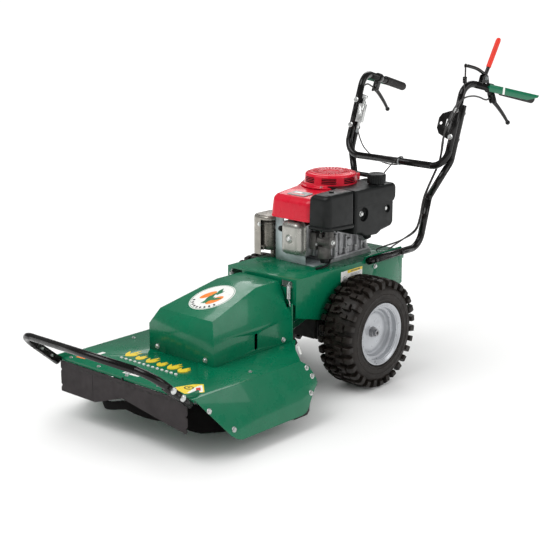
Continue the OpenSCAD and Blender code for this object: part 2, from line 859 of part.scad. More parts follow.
// Point on the push bar line: u along the slope, w below it, as (y, z)
function on_bar(u, w) = [
  -875 - u * cos(bar_angle) - w * sin(bar_angle),
  198 + u * sin(bar_angle) - w * cos(bar_angle)
];
bar_bolts = [on_bar(112, 0), on_bar(60, 0)];

module deck_shell() {
  color("green") {
    difference() {
      translate([0, 0, deck_z - deck_t]) linear_extrude(deck_t) deck_outline(0);
      translate([0, -spindle_y, deck_z - 20]) cylinder(h = 40, r = 47, $fn = 64);
      for (i = [0 : 3]) translate([0, -spindle_y, deck_z - 20]) rotate([0, 0, 45 + 90 * i])
        translate([58, 0, 0]) cylinder(h = 40, r = 5.2, $fn = 32);
    }
    both() skirt();
    translate([0, 0, 104]) linear_extrude(deck_z - deck_t - 104) difference() {
      deck_outline(0);
      deck_outline(deck_t);
      translate([-400, -1000]) square([800, 641]);
    }
    translate([-deck_w / 2, -deck_front - 4, deck_z - 10]) cube([deck_w, 4, 10]);
    difference() {
      translate([-52, -198, deck_z]) cube([104, 6, 52]);
      translate([0, -210, roll_z]) rotate([-90, 0, 0]) cylinder(h = 30, r = roll_r, $fn = 64);
    }
    both() {
      translate([43, -240, deck_z]) cube([6, 42, 40]);
      cross_plate(-211, 5) translate([140, deck_z]) square([16, 136]);
      side_plate(bar_x - bar_d / 2 - 6, 6) difference() {
        polygon([
          [-825, deck_z], [-deck_front - 4, deck_z], on_bar(42, 12), on_bar(130, 12),
          on_bar(130, -12), on_bar(34, -14), [-825, deck_z + 16]
        ]);
        for (p = bar_bolts) translate(p) circle(4.3, $fn = 32);
      }
    }
  }
}

module pivot_shaft() {
  color("dimgray") {
    translate([0, -206, roll_z]) rotate([-90, 0, 0]) cylinder(h = 156, r = roll_r, $fn = 64);
    translate([0, -192, roll_z]) rotate([-90, 0, 0]) cylinder(h = 11, r = 34, $fn = 64);
    translate([0, -59, roll_z]) rotate([-90, 0, 0]) cylinder(h = 12, r = 30, $fn = 64);
  }
}

// Body of the belt cover with its faces moved in by g
module cover_solid(g) {
  w = cover_w / 2 - g;
  tw = cover_top_w / 2 - g * 0.6;
  intersection() {
    translate([0, -150, 0]) rotate([90, 0, 0]) linear_extrude(500) polygon([
      [-w, deck_z - g], [w, deck_z - g], [w, cover_wall_z - g / 3], [tw, cover_top_z - g],
      [-tw, cover_top_z - g], [-w, cover_wall_z - g / 3]
    ]);
    side_plate(-300, 600) polygon([
      [-605 + g, deck_z - g], [-605 + g, cover_wall_z], [-579 + g * 0.9, 363.5 - g * 0.4],
      [-332, cover_top_z - g], [-212 - g, cover_top_z - g], [-212 - g, deck_z - g]
    ]);
  }
}

module belt_cover() {
  color("green") difference() {
    cover_solid(0);
    cover_solid(3);
    translate([-140, -220, deck_z - 1]) cube([280, 20, 151]);
    translate([-84, -220, 300]) cube([168, 20, 119]);
    side_plate(cover_w / 2 - 8, 16) rounded(-398, 258, 15, 58, 7);
    translate([-26, -257, cover_top_z - 8]) cube([22, 5, 16]);
  }
}

deck_top_bolts = [
  [-289, -560], [274, -555], [-282, -853], [-138, -853], [0, -853], [150, -853]
];
skirt_bolts = [[-820, 50], [-740, 132], [-342, 27], [-328, 60], [-356, 112]];

module deck_bolts() {
  color("gainsboro") {
    both() {
      translate([116, -605, 233]) rotate([-90, 0, 0]) bolt(4, 0);
      translate([cover_w / 2, -258, 232]) rotate([0, -90, 0]) bolt(4, 0);
      for (p = bar_bolts)
        translate([bar_x + bar_d / 2, p[0], p[1]]) rotate([0, -90, 0]) {
          translate([0, 0, -5]) cylinder(h = 5, r = 9.5, $fn = 48);
          cylinder(h = bar_d + 14, r = 4, $fn = 32);
        }
      for (p = skirt_bolts) skirt_frame() translate([p[0], p[1], 0]) bolt(4, 0);
    }
    for (p = deck_top_bolts) translate([p[0], p[1], deck_z]) rotate([180, 0, 0]) bolt(4, 0);
  }
}

module deck_skids() {
  color("#2b2b2b") both() side_plate(297, 6) polygon([
    [-375, deck_z - deck_t], [-378, 40], [-374, 12], [-362, 0], [-298, 0], [-286, 12],
    [-282, 40], [-292, 84], [-345, 103], [-356, 103], [-356, deck_z - deck_t]
  ]);
}

function bar_at(x, u) = [x, on_bar(u, 0)[0], on_bar(u, 0)[1]];

module push_bar() {
  color("#151515") difference() {
    bent_tube([bar_at(-bar_x, 6), bar_at(-bar_x, 213), bar_at(bar_x, 213), bar_at(bar_x, 6)],
      [72, 72], bar_d / 2, bar_d / 2 - wall);
    both() for (p = bar_bolts)
      translate([bar_x - 30, p[0], p[1]]) rotate([0, 90, 0]) cylinder(h = 60, r = 4.2, $fn = 32);
  }
}

flap_y = -deck_front - 7;
flap_rod_z = 201;

module front_flap() {
  color("#3e3a3a") {
    cross_plate(flap_y - 2.5, 5) polygon([
      [-312, 195], [-312, 96], [-138, 96], [0, 142], [180, 112], [300, 95], [300, 195]
    ]);
    for (i = [0 : 8]) difference() {
      union() {
        translate([-300 + i * 68, flap_y, flap_rod_z]) rotate([0, 90, 0])
          cylinder(h = 34, r = 4.6, $fn = 32);
        translate([-300 + i * 68, flap_y - 2.5, 194]) cube([34, 5, 6]);
      }
      translate([-301 + i * 68, flap_y, flap_rod_z]) rotate([0, 90, 0])
        cylinder(h = 36, r = 2.5 + fit, $fn = 32);
    }
  }
}

module flap_rod() {
  color("dimgray") {
    translate([-316, flap_y, flap_rod_z]) rotate([0, 90, 0]) cylinder(h = 617, r = 2.5, $fn = 32);
    for (i = [0 : 7])
      translate([-265 + i * 68, flap_y - 2, 199.5]) cube([32, 5, deck_z - 199.5]);
  }
}

module spindle_housing() {
  color("dimgray") translate([0, -spindle_y, 0]) difference() {
    union() {
      translate([0, 0, 124]) cylinder(h = 146, r = 44, $fn = 96);
      translate([0, 0, deck_z]) cylinder(h = 10, r = 70, $fn = 96);
      for (i = [0 : 3]) rotate([0, 0, 45 + 90 * i]) translate([58, 0, 0]) {
        translate([0, 0, deck_z - 8]) cylinder(h = 12, r = 5, $fn = 32);
        translate([0, 0, deck_z + 10]) cylinder(h = 7, r = 9, $fn = 6);
      }
    }
    translate([0, 0, 100]) cylinder(h = 200, r = 15 + fit, $fn = 64);
  }
}

module spindle_shaft() {
  color("gray") translate([0, -spindle_y, 0]) {
    translate([0, 0, 92]) cylinder(h = 230, r = 15, $fn = 64);
    translate([0, 0, 92]) cylinder(h = 12, r = 60, $fn = 96);
    translate([0, 0, 84]) cylinder(h = 8, r = 10, $fn = 48);
    translate([0, 0, 72]) cylinder(h = 12, r = 19, $fn = 6);
  }
}

module spindle_pulley() {
  color("gray") translate([0, -spindle_y, belt_z]) pulley(60, 13, 28, 15);
}

module blade() {
  color("silver") translate([0, -spindle_y, 84 + eps]) rotate([0, 0, 28]) difference() {
    intersection() {
      translate([-blade_r, -40, 0]) cube([2 * blade_r, 80, 8 - 2 * eps]);
      cylinder(h = 8, r = blade_r, $fn = 128);
    }
    translate([0, 0, -1]) cylinder(h = 10, r = 10 + fit, $fn = 48);
    for (a = [0, 180]) rotate([0, 0, a]) {
      translate([blade_r - 130, -40, 8]) rotate([-30, 0, 0])
        translate([0, -20, 0]) cube([140, 34, 12]);
      translate([blade_r - 130, 26, -1]) cube([90, 20, 10]);
    }
  }
}

idler_r = 22;
idler_at = [-104, -42.4];

module idler_arm() {
  a = [idler_pivot[0], idler_pivot[1], belt_z + 10];
  b = [idler_at[0], idler_at[1], belt_z + 10];
  v = b - a;
  color("gray") difference() {
    union() {
      translate(a) cylinder(h = 6, r = 14, $fn = 48);
      translate(b) cylinder(h = 6, r = 12, $fn = 48);
      translate(a) rotate([0, 0, atan2(v[1], v[0])])
        translate([0, -9, 0]) cube([norm(v), 18, 6]);
      translate(b - [0, 0, 18]) cylinder(h = 20, r = 5, $fn = 32);
      translate(b - [0, 0, 18]) cylinder(h = 3, r = 9, $fn = 6);
    }
    translate([a[0], a[1], belt_z]) cylinder(h = 30, r = 6 + fit, $fn = 48);
  }
}

module idler_pulley() {
  color("#333333") difference() {
    translate([idler_at[0], idler_at[1], belt_z - 5 + 0.5]) cylinder(h = 12, r = idler_r, $fn = 96);
    translate([idler_at[0], idler_at[1], belt_z - 20]) cylinder(h = 40, r = 5 + fit, $fn = 48);
  }
}

module centring_springs() {
  color("gainsboro") both() {
    translate([139, -210, 364]) cylinder(h = 58, r = 8, $fn = 32);
    translate([139, -210, 422]) cylinder(h = 5, r = 2, $fn = 24);
    translate([139, -210, 426]) rotate([-90, 0, 0]) cylinder(h = 18, r = 2, $fn = 24);
    translate([148, -213, 344]) cylinder(h = 20, r = 2, $fn = 24);
    translate([144, -213.5, 362]) cube([8, 4, 4]);
  }
}

rear_frame();
frame_bolts();
pivot_shaft();
transaxle();
transaxle_pulley();
traction_belt();
axle_left();
axle_right();
rim_left();
rim_right();
tyre_left();
tyre_right();
crankcase();
cylinder_head();
valve_cover();
heat_shield();
muffler();
muffler_guard();
carburettor();
air_cleaner_cover();
fuel_tank();
fuel_cap();
oil_cap();
fan_shroud();
recoil_housing();
starter_cord();
starter_grip();
crankshaft();
flywheel_fan();
drive_pulleys();
handle_lower_left();
handle_lower_right();
handle_upper();
grip_left();
grip_right();
hand_guards();
control_plates();
throttle_body();
throttle_lever();
lever_clamps();
brake_lever_left();
brake_lever_right();
blade_lever();
clutch_link();
control_cables();
deck_shell();
belt_cover();
deck_bolts();
deck_skids();
push_bar();
front_flap();
flap_rod();
spindle_housing();
spindle_shaft();
spindle_pulley();
blade();
blade_belt();
idler_arm();
idler_pulley();
centring_springs();
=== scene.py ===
"""Looks of the walk-behind brush mower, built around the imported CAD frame."""

import math

import bmesh
import bpy
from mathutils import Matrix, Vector


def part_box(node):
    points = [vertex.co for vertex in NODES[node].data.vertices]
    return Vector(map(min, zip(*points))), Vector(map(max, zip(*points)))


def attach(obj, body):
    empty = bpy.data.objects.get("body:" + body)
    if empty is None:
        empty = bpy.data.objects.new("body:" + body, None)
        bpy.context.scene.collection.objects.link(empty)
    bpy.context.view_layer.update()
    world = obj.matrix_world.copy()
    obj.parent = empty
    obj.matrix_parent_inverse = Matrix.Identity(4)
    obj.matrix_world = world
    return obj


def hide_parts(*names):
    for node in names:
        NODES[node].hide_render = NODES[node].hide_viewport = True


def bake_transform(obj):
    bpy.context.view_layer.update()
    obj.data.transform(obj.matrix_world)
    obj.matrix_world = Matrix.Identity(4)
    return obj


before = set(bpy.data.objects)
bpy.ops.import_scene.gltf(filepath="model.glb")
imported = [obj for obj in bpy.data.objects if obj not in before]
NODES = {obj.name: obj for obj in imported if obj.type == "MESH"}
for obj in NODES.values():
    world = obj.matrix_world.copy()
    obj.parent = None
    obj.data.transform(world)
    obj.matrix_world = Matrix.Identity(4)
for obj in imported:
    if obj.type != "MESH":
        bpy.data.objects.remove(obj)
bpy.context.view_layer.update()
MM = 0.001
TAU = 2 * math.pi


# ---------- materials ----------

def material(name, tint, rough=0.4, metal=0.0, coat=0.0, vary=0.10, patch=14.0, grain=500.0,
             bump=0.06, depth=0.4, rough_vary=0.10, stretch=(1, 1, 1), cells=False, dust=None,
             dust_amount=0.0, shine=0.5, glow=0.0):
    """Procedural surface: patchy colour, uneven gloss, fine relief and optional settled dust."""
    mat = bpy.data.materials.new(name)
    mat.use_nodes = True
    nodes, links = mat.node_tree.nodes, mat.node_tree.links
    nodes.clear()
    out = nodes.new("ShaderNodeOutputMaterial")
    bsdf = nodes.new("ShaderNodeBsdfPrincipled")
    links.new(bsdf.outputs[0], out.inputs[0])
    coords = nodes.new("ShaderNodeTexCoord")
    mapping = nodes.new("ShaderNodeMapping")
    mapping.inputs["Scale"].default_value = stretch
    links.new(coords.outputs["Object"], mapping.inputs["Vector"])
    place = mapping.outputs[0]

    def preset(node, **values):
        for key, value in values.items():
            node.inputs[key.replace("_", " ")].default_value = value
        return node

    def noise(scale, detail=4.0, rough_value=0.55):
        n = preset(nodes.new("ShaderNodeTexNoise"), Scale=scale, Detail=detail,
                   Roughness=rough_value)
        links.new(place, n.inputs["Vector"])
        return n.outputs["Fac"]

    def ramp(source, low, high, start=0.3, end=0.7):
        r = preset(nodes.new("ShaderNodeMapRange"), From_Min=start, From_Max=end, To_Min=low,
                   To_Max=high)
        links.new(source, r.inputs["Value"])
        return r.outputs[0]

    mix = nodes.new("ShaderNodeMix")
    mix.data_type = "RGBA"
    links.new(ramp(noise(patch), 0.0, 1.0), mix.inputs["Factor"])
    mix.inputs["A"].default_value = [c * (1 - vary) for c in tint] + [1]
    mix.inputs["B"].default_value = [min(1.0, c * (1 + vary)) for c in tint] + [1]
    colour = mix.outputs["Result"]
    if dust is not None:
        geometry = nodes.new("ShaderNodeNewGeometry")
        split = nodes.new("ShaderNodeSeparateXYZ")
        links.new(geometry.outputs["Normal"], split.inputs[0])
        up = ramp(split.outputs["Z"], 0.0, dust_amount, 0.2, 1.0)
        spread = nodes.new("ShaderNodeMath")
        spread.operation = "MULTIPLY"
        links.new(up, spread.inputs[0])
        links.new(ramp(noise(patch * 5), 0.3, 1.0), spread.inputs[1])
        over = nodes.new("ShaderNodeMix")
        over.data_type = "RGBA"
        links.new(spread.outputs[0], over.inputs["Factor"])
        links.new(colour, over.inputs["A"])
        over.inputs["B"].default_value = list(dust) + [1]
        colour = over.outputs["Result"]
    links.new(colour, bsdf.inputs["Base Color"])
    links.new(ramp(noise(patch * 2.5), max(0.02, rough - rough_vary), rough + rough_vary),
              bsdf.inputs["Roughness"])
    if glow:
        away = nodes.new("ShaderNodeVectorMath")
        away.operation = "LENGTH"
        links.new(coords.outputs["Object"], away.inputs[0])
        fade = ramp(away.outputs["Value"], 0.0, glow, 1.4, 4.5)
        bsdf.inputs["Emission Color"].default_value = (1, 1, 1, 1)
        links.new(fade, bsdf.inputs["Emission Strength"])
    preset(bsdf, Metallic=metal, Specular_IOR_Level=shine, Coat_Weight=coat, Coat_Roughness=0.06)
    relief = preset(nodes.new("ShaderNodeBump"), Strength=bump, Distance=depth * MM)
    if cells:
        voronoi = preset(nodes.new("ShaderNodeTexVoronoi"), Scale=grain)
        links.new(place, voronoi.inputs["Vector"])
        links.new(voronoi.outputs["Distance"], relief.inputs["Height"])
    else:
        links.new(noise(grain, 2.0), relief.inputs["Height"])
    links.new(relief.outputs[0], bsdf.inputs["Normal"])
    return mat


GREEN = material("green_paint", (0.0, 0.135, 0.062), rough=0.3, coat=0.3, shine=0.25, vary=0.07, patch=9,
                 grain=900, bump=0.03)
BLACK_GLOSS = material("black_paint", (0.004, 0.0035, 0.0035), rough=0.26, coat=0.15, shine=0.3, vary=0.25,
                       patch=20, grain=800, bump=0.04)
BLACK_PLASTIC = material("black_plastic", (0.0075, 0.0085, 0.0085), rough=0.4, vary=0.2, patch=18,
                         grain=900, bump=0.12, depth=0.2, shine=0.22)
RED = material("red_paint", (0.56, 0.006, 0.024), rough=0.3, coat=0.25, shine=0.2, vary=0.08, patch=10,
               grain=900, bump=0.03)
# Painted shade: dark red for the insides of the starter housing's louvres and slots.
RED_PAINTED_SHADE = material("red_shade", (0.05, 0.003, 0.006), rough=0.6, vary=0.2)
RED_GRIP = material("red_grip", (0.66, 0.028, 0.012), rough=0.42, vary=0.08, grain=900, bump=0.15,
                    shine=0.35)
# Rubber of the grips; also the dark dashes on the flap, which are painted shade for its slots.
RUBBER_AND_SLOT_SHADE = material("grip_rubber_and_slot_shade", (0.009, 0.007, 0.0065), rough=0.62, vary=0.25, patch=30,
                  grain=1400, bump=0.3, depth=0.3)
TYRE = material("tyre_rubber", (0.013, 0.0095, 0.0075), rough=0.5, vary=0.3, patch=22, grain=900,
                bump=0.35, depth=0.5, dust=(0.05, 0.036, 0.028), dust_amount=0.12,
                shine=0.3)
# Painted shade: near-black matte for the deck wall that stands in for the shadow inside the deck.
SHADE_BAFFLE = material("baffle_painted_shade", (0.004, 0.0035, 0.0035), rough=0.9, shine=0.1, vary=0.15,
                  patch=12, grain=300, bump=0.05)
FLAP = material("flap_rubber", (0.034, 0.029, 0.030), rough=0.75, vary=0.15, patch=16, grain=900,
                bump=0.2, depth=0.3, shine=0.25)
RIM = material("rim_silver", (0.46, 0.475, 0.50), rough=0.34, metal=0.45, coat=0.2, vary=0.06,
               patch=20, grain=300, bump=0.02)
ZINC = material("zinc", (0.62, 0.63, 0.62), rough=0.32, metal=0.8, vary=0.14, patch=60,
                grain=600, bump=0.03)
ZINC_BLUE = material("zinc_sheet", (0.48, 0.55, 0.56), rough=0.4, metal=0.35, vary=0.14, patch=35,
                     grain=300, bump=0.03)
STEEL = material("steel", (0.33, 0.33, 0.34), rough=0.35, metal=0.95, vary=0.15, patch=40,
                 grain=900, bump=0.1, stretch=(1, 1, 6))
BRUSHED = material("brushed_cover", (0.40, 0.395, 0.365), rough=0.3, metal=0.75, vary=0.08,
                   patch=16, grain=250, bump=0.02, rough_vary=0.06)
MUFFLER = material("muffler_sheet", (0.33, 0.31, 0.275), rough=0.36, metal=0.7, vary=0.16,
                   patch=24, grain=600, bump=0.08)
MUFFLER_DARK = material("muffler_shell", (0.17, 0.16, 0.14), rough=0.28, metal=0.8, vary=0.3,
                        patch=18, grain=300, bump=0.04)
CAST = material("cast_alloy", (0.40, 0.40, 0.41), rough=0.5, metal=0.7, vary=0.18, patch=40,
                grain=900, bump=0.35, depth=0.5, cells=True)
CAST_DARK = material("carburettor_alloy", (0.11, 0.105, 0.10), rough=0.42, metal=0.7, vary=0.35,
                     patch=60, grain=900, bump=0.35, depth=0.5, cells=True)
CAST_IRON = material("cast_iron", (0.030, 0.028, 0.027), rough=0.6, metal=0.5, vary=0.3, patch=40,
                     grain=700, bump=0.5, depth=0.6, cells=True)
BELT = material("belt_rubber", (0.02, 0.02, 0.02), rough=0.7, vary=0.25, grain=1800, bump=0.4)
CORD = material("starter_cord", (0.62, 0.60, 0.55), rough=0.8, vary=0.2, patch=300, grain=2500,
                bump=0.8, depth=0.5, stretch=(1, 0.4, 1))
CABLE = material("cable_sleeve", (0.035, 0.033, 0.032), rough=0.45, vary=0.2, patch=60,
                 grain=1500, bump=0.15)
WHITE, YELLOW, ORANGE, LABEL_RED = (
    material("label_" + ink, tint, rough=0.35, coat=0.3, vary=vary, patch=30)
    for ink, tint, vary in (("white", (0.80, 0.80, 0.77), 0.03), ("yellow", (0.82, 0.60, 0.035), 0.06),
                            ("orange", (0.85, 0.22, 0.02), 0.06), ("red", (0.60, 0.03, 0.03), 0.06)))
LABEL_BLACK = material("label_black", (0.02, 0.02, 0.02), rough=0.4, coat=0.3, vary=0.1, patch=30)
LABEL_GREEN = material("label_green", (0.01, 0.17, 0.07), rough=0.35, coat=0.3, vary=0.1)
GREY = material("label_grey", (0.20, 0.22, 0.22), rough=0.35, coat=0.2, vary=0.1, patch=60)
BADGE = material("badge_dark", (0.045, 0.055, 0.052), rough=0.3, coat=0.2, vary=0.2, patch=60)


# ---------- mesh tools ----------

def shade(obj, angle):
    """Smooth shading with edges sharper than the angle kept crisp."""
    mesh = obj.data
    for p in mesh.polygons:
        p.use_smooth = True
    mesh.set_sharp_from_angle(angle=math.radians(angle))


def piece(name, verts, faces, body, mats, stands_for=(), index=None, angle=35, merge=1e-6):
    """A finished piece from points in millimetres, riding on a CAD body."""
    mesh = bpy.data.meshes.new(name)
    mesh.from_pydata([Vector(v) * MM for v in verts], [], faces)
    mats = mats if isinstance(mats, (list, tuple)) else [mats]
    for m in mats:
        mesh.materials.append(m)
    if index:
        for p, i in zip(mesh.polygons, index):
            p.material_index = i
    bm = bmesh.new()
    bm.from_mesh(mesh)
    bmesh.ops.remove_doubles(bm, verts=bm.verts, dist=merge)
    bmesh.ops.dissolve_degenerate(bm, edges=bm.edges, dist=1e-7)
    bmesh.ops.recalc_face_normals(bm, faces=bm.faces)
    bm.to_mesh(mesh)
    bm.free()
    obj = bpy.data.objects.new(name, mesh)
    bpy.context.scene.collection.objects.link(obj)
    shade(obj, angle)
    if body:
        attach(obj, body)
    if stands_for:
        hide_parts(*stands_for)
    return obj


class Build:
    """Collects several closed shapes into one mesh."""

    def __init__(self):
        self.verts, self.faces, self.index = [], [], []

    def add(self, part, mat=0):
        verts, faces = part[0], part[1]
        start = len(self.verts)
        self.verts += [Vector(v) for v in verts]
        self.faces += [[i + start for i in f] for f in faces]
        self.index += part[2] if len(part) > 2 else [mat] * len(faces)
        return self

    def done(self, name, body, mats, slot, stands_for=(), angle=35, merge=1e-6):
        return piece(name, self.verts, self.faces, body, mats, stands_for, self.index,
                     angle, merge)


def basis(axis, hint=None):
    """Three square directions, the last along the axis."""
    z = Vector(axis).normalized()
    h = Vector(hint) if hint is not None else Vector((0, 0, 1))
    if abs(h.normalized().dot(z)) > 0.95:
        h = Vector((1, 0, 0))
    x = (h - h.dot(z) * z).normalized()
    return x, z.cross(x), z


def revolve(profile, steps, at=(0, 0, 0), axis=(0, 0, 1), hint=None, closed=False, shape=None,
            dark=None):
    """Turns (radius, height) points about an axis. shape can move a point, dark picks faces."""
    x, y, z = basis(axis, hint)
    at = Vector(at)
    n = len(profile)
    verts, faces, index = [], [], []
    for i in range(steps):
        a = TAU * i / steps
        for j, (r, h) in enumerate(profile):
            if shape:
                r, h = shape(a, j, r, h)
            verts.append(at + (x * math.cos(a) + y * math.sin(a)) * r + z * h)
    rows = n if closed else n - 1
    for i in range(steps):
        k = (i + 1) % steps
        for j in range(rows):
            m = (j + 1) % n
            faces.append([i * n + j, k * n + j, k * n + m, i * n + m])
            index.append(1 if dark and dark(TAU * (i + 0.5) / steps, j) else 0)
    if not closed:
        for j in (0, n - 1):
            if profile[j][0] > 0.01:
                ring = [i * n + j for i in range(steps)]
                faces.append(ring if j else ring[::-1])
                index.append(0)
    return verts, faces, index


def peg(r, start, end, steps, at, axis=(0, 0, 1)):
    """Plain round peg between two heights on an axis."""
    return revolve([(0.01, start), (r, start), (r, end), (0.01, end)], steps, at, axis)


def skin(rows, n):
    """Faces over rows of n points each, closed at both ends."""
    faces = [[k * n + i, k * n + (i + 1) % n, (k + 1) * n + (i + 1) % n, (k + 1) * n + i]
             for k in range(rows - 1) for i in range(n)]
    return faces + [list(range(n))[::-1], [(rows - 1) * n + i for i in range(n)]]


def rounded_outline(points, radii, seg=8):
    """Closed 2D outline with its corners rounded."""
    out = []
    n = len(points)
    for i in range(n):
        p0, p1, p2 = (Vector(points[(i + k) % n]) for k in (-1, 0, 1))
        r = radii[i] if isinstance(radii, (list, tuple)) else radii
        a, b = (p0 - p1).normalized(), (p2 - p1).normalized()
        turn = math.acos(max(-1, min(1, a.dot(b))))
        if r <= 0 or turn > 3.13:
            out.append(p1)
            continue
        cut = r / math.tan(turn / 2)
        s, e = p1 + a * cut, p1 + b * cut
        c = p1 + (a + b).normalized() * (r / math.sin(turn / 2))
        v0, v1 = s - c, e - c
        sweep = math.atan2(v0.x * v1.y - v0.y * v1.x, v0.dot(v1))
        for k in range(seg + 1):
            t = sweep * k / seg
            out.append(c + Vector((v0.x * math.cos(t) - v0.y * math.sin(t),
                                   v0.x * math.sin(t) + v0.y * math.cos(t))))
    return out


def rect(x0, y0, x1, y1, r, seg):
    """Rounded rectangle between two corners."""
    return rounded_outline([(x0, y0), (x1, y0), (x1, y1), (x0, y1)], r, seg)


def inset(outline, d):
    """Moves a counter-clockwise outline inwards by d."""
    n = len(outline)
    out = []
    for i in range(n):
        a = outline[i] - outline[i - 1]
        b = outline[(i + 1) % n] - outline[i]
        a = Vector((-a.y, a.x)).normalized() if a.length > 1e-9 else Vector((0, 0))
        b = Vector((-b.y, b.x)).normalized() if b.length > 1e-9 else a
        m = a + b
        k = max(0.3, m.dot(m) / 2)
        out.append(outline[i] + m * (d / k))
    return out


def area(outline):
    """Signed area; positive when the outline runs counter-clockwise."""
    return sum(outline[i - 1].x * outline[i].y - outline[i].x * outline[i - 1].y
               for i in range(len(outline))) / 2


def fillet(r, z, up=1, seg=5, base=0.0):
    """(inset, height) steps of a rounded edge ending at height z."""
    return [(base + r * (1 - math.cos(t)), z - up * r * (1 - math.sin(t)))
            for t in (math.pi / 2 * k / seg for k in range(seg + 1))]


def slab(outline, rings, place=None, warp=None):
    """Solid from one outline at several (inset, height) rings, bottom ring first."""
    if area(outline) < 0:
        outline = outline[::-1]
    verts = []
    for d, h in rings:
        for p in inset(outline, d):
            v = Vector((p.x, p.y, h))
            if warp:
                v = warp(v)
            verts.append(place(v) if place else v)
    return verts, skin(len(rings), len(outline))


def in_frame(at, u, v):
    """Maps (a, b, h) to at + a u + b v + h (u x v)."""
    at, u, v = Vector(at), Vector(u).normalized(), Vector(v).normalized()
    w = u.cross(v)
    return lambda p: at + u * p[0] + v * p[1] + w * p[2]


def box(lo, hi, r=0.0, seg=3):
    """Box between two corners with rounded upright edges and a rounded top and bottom."""
    lo, hi = Vector(lo), Vector(hi)
    o = rect(lo.x, lo.y, hi.x, hi.y, r, seg)
    rings = [(a, lo.z + hi.z - h) for a, h in fillet(r * 0.7, hi.z, 1, seg)][::-1] \
        + fillet(r * 0.7, hi.z, 1, seg) if r else [(0, lo.z), (0, hi.z)]
    return slab(o, rings)


def smooth_path(points, steps=12):
    """Catmull-Rom curve through the points."""
    p = [Vector(q) for q in points]
    p = [p[0] * 2 - p[1]] + p + [p[-1] * 2 - p[-2]]
    out = []
    for i in range(1, len(p) - 2):
        for k in range(steps):
            t = k / steps
            out.append(0.5 * ((2 * p[i]) + (p[i + 1] - p[i - 1]) * t
                              + (2 * p[i - 1] - 5 * p[i] + 4 * p[i + 1] - p[i + 2]) * t * t
                              + (3 * p[i] - p[i - 1] - 3 * p[i + 1] + p[i + 2]) * t ** 3))
    out.append(p[-2])
    return out


def sweep(path, radius, sides=12, round_ends=True):
    """Round bar along a path; radius can be a function of the length share."""
    path = [p for i, p in enumerate(path) if i == 0 or (p - path[i - 1]).length > 1e-4]
    n = len(path)
    tangents = [(path[min(i + 1, n - 1)] - path[max(i - 1, 0)]).normalized() for i in range(n)]
    x = basis(tangents[0])[0]
    rings = []
    for i in range(n):
        t = tangents[i]
        x = (x - x.dot(t) * t).normalized()
        y = t.cross(x)
        r = radius(i / (n - 1)) if callable(radius) else radius
        rings.append((path[i], x.copy(), y, t, r))
    if round_ends:
        head, tail = rings[0], rings[-1]
        steps = [0.95, 0.75, 0.45]
        first = [(head[0] - head[3] * head[4] * 0.5 * math.sqrt(1 - s * s), head[1], head[2],
                  head[3], head[4] * s) for s in steps[::-1]]
        last = [(tail[0] + tail[3] * tail[4] * 0.5 * math.sqrt(1 - s * s), tail[1], tail[2],
                 tail[3], tail[4] * s) for s in steps]
        rings = first + rings + last
    turns = [TAU * k / sides for k in range(sides)]
    verts = [c + (x * math.cos(a) + y * math.sin(a)) * r for c, x, y, _, r in rings for a in turns]
    return verts, skin(len(rings), sides)


def hex_bolt(at, axis, r, washer=True):
    """Flanged hexagon head standing on a face, axis pointing out of it."""
    parts = Build()
    if washer:
        parts.add(revolve([(0.01, 0), (r * 1.35, 0), (r * 1.35, r * 0.16), (r * 1.2, r * 0.25),
                           (0.01, r * 0.25)], 24, at, axis))
    x, y, z = basis(axis)
    hexagon = [Vector((r * math.cos(TAU * k / 6), r * math.sin(TAU * k / 6))) for k in range(6)]
    hexagon = rounded_outline(hexagon, r * 0.08, 2)
    parts.add(slab(hexagon, [(0, 0), (0, r * 0.6), (r * 0.12, r * 0.72)],
                   lambda p: Vector(at) + x * p[0] + y * p[1] + z * (p[2] + r * 0.2)))
    return parts.verts, parts.faces


def cut(obj, cutters):
    """Takes closed shapes out of a piece."""
    tool = Build()
    for c in cutters:
        tool.add(c)
    cutter = piece(obj.name + "_cut", tool.verts, tool.faces, None, BLACK_PLASTIC)
    mod = obj.modifiers.new("cut", "BOOLEAN")
    mod.operation = "DIFFERENCE"
    mod.solver = "EXACT"
    mod.object = cutter
    bpy.context.view_layer.update()
    graph = bpy.context.evaluated_depsgraph_get()
    mesh = bpy.data.meshes.new_from_object(obj.evaluated_get(graph))
    obj.modifiers.clear()
    obj.data = mesh
    bpy.data.objects.remove(cutter)
    shade(obj, 35)


def mm_box(node):
    """Corners of a CAD node in millimetres."""
    lo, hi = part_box(node)
    return lo / MM, hi / MM


def soften(node, width):
    """Breaks the sharp edges of a CAD node for the light to catch."""
    obj = NODES[node]
    weld = obj.modifiers.new("weld", "WELD")
    weld.merge_threshold = 1e-5
    bevel = obj.modifiers.new("edges", "BEVEL")
    bevel.width = width * MM
    bevel.segments = 2
    bevel.limit_method = "ANGLE"
    bevel.angle_limit = math.radians(40)
    bevel.harden_normals = True


def dress(mat, *names):
    """Gives CAD nodes one material."""
    for n in names:
        obj = NODES[n]
        obj.data.materials.clear()
        obj.data.materials.append(mat)


# ---------- CAD nodes that stay ----------

BRACKET_Y = -0.871


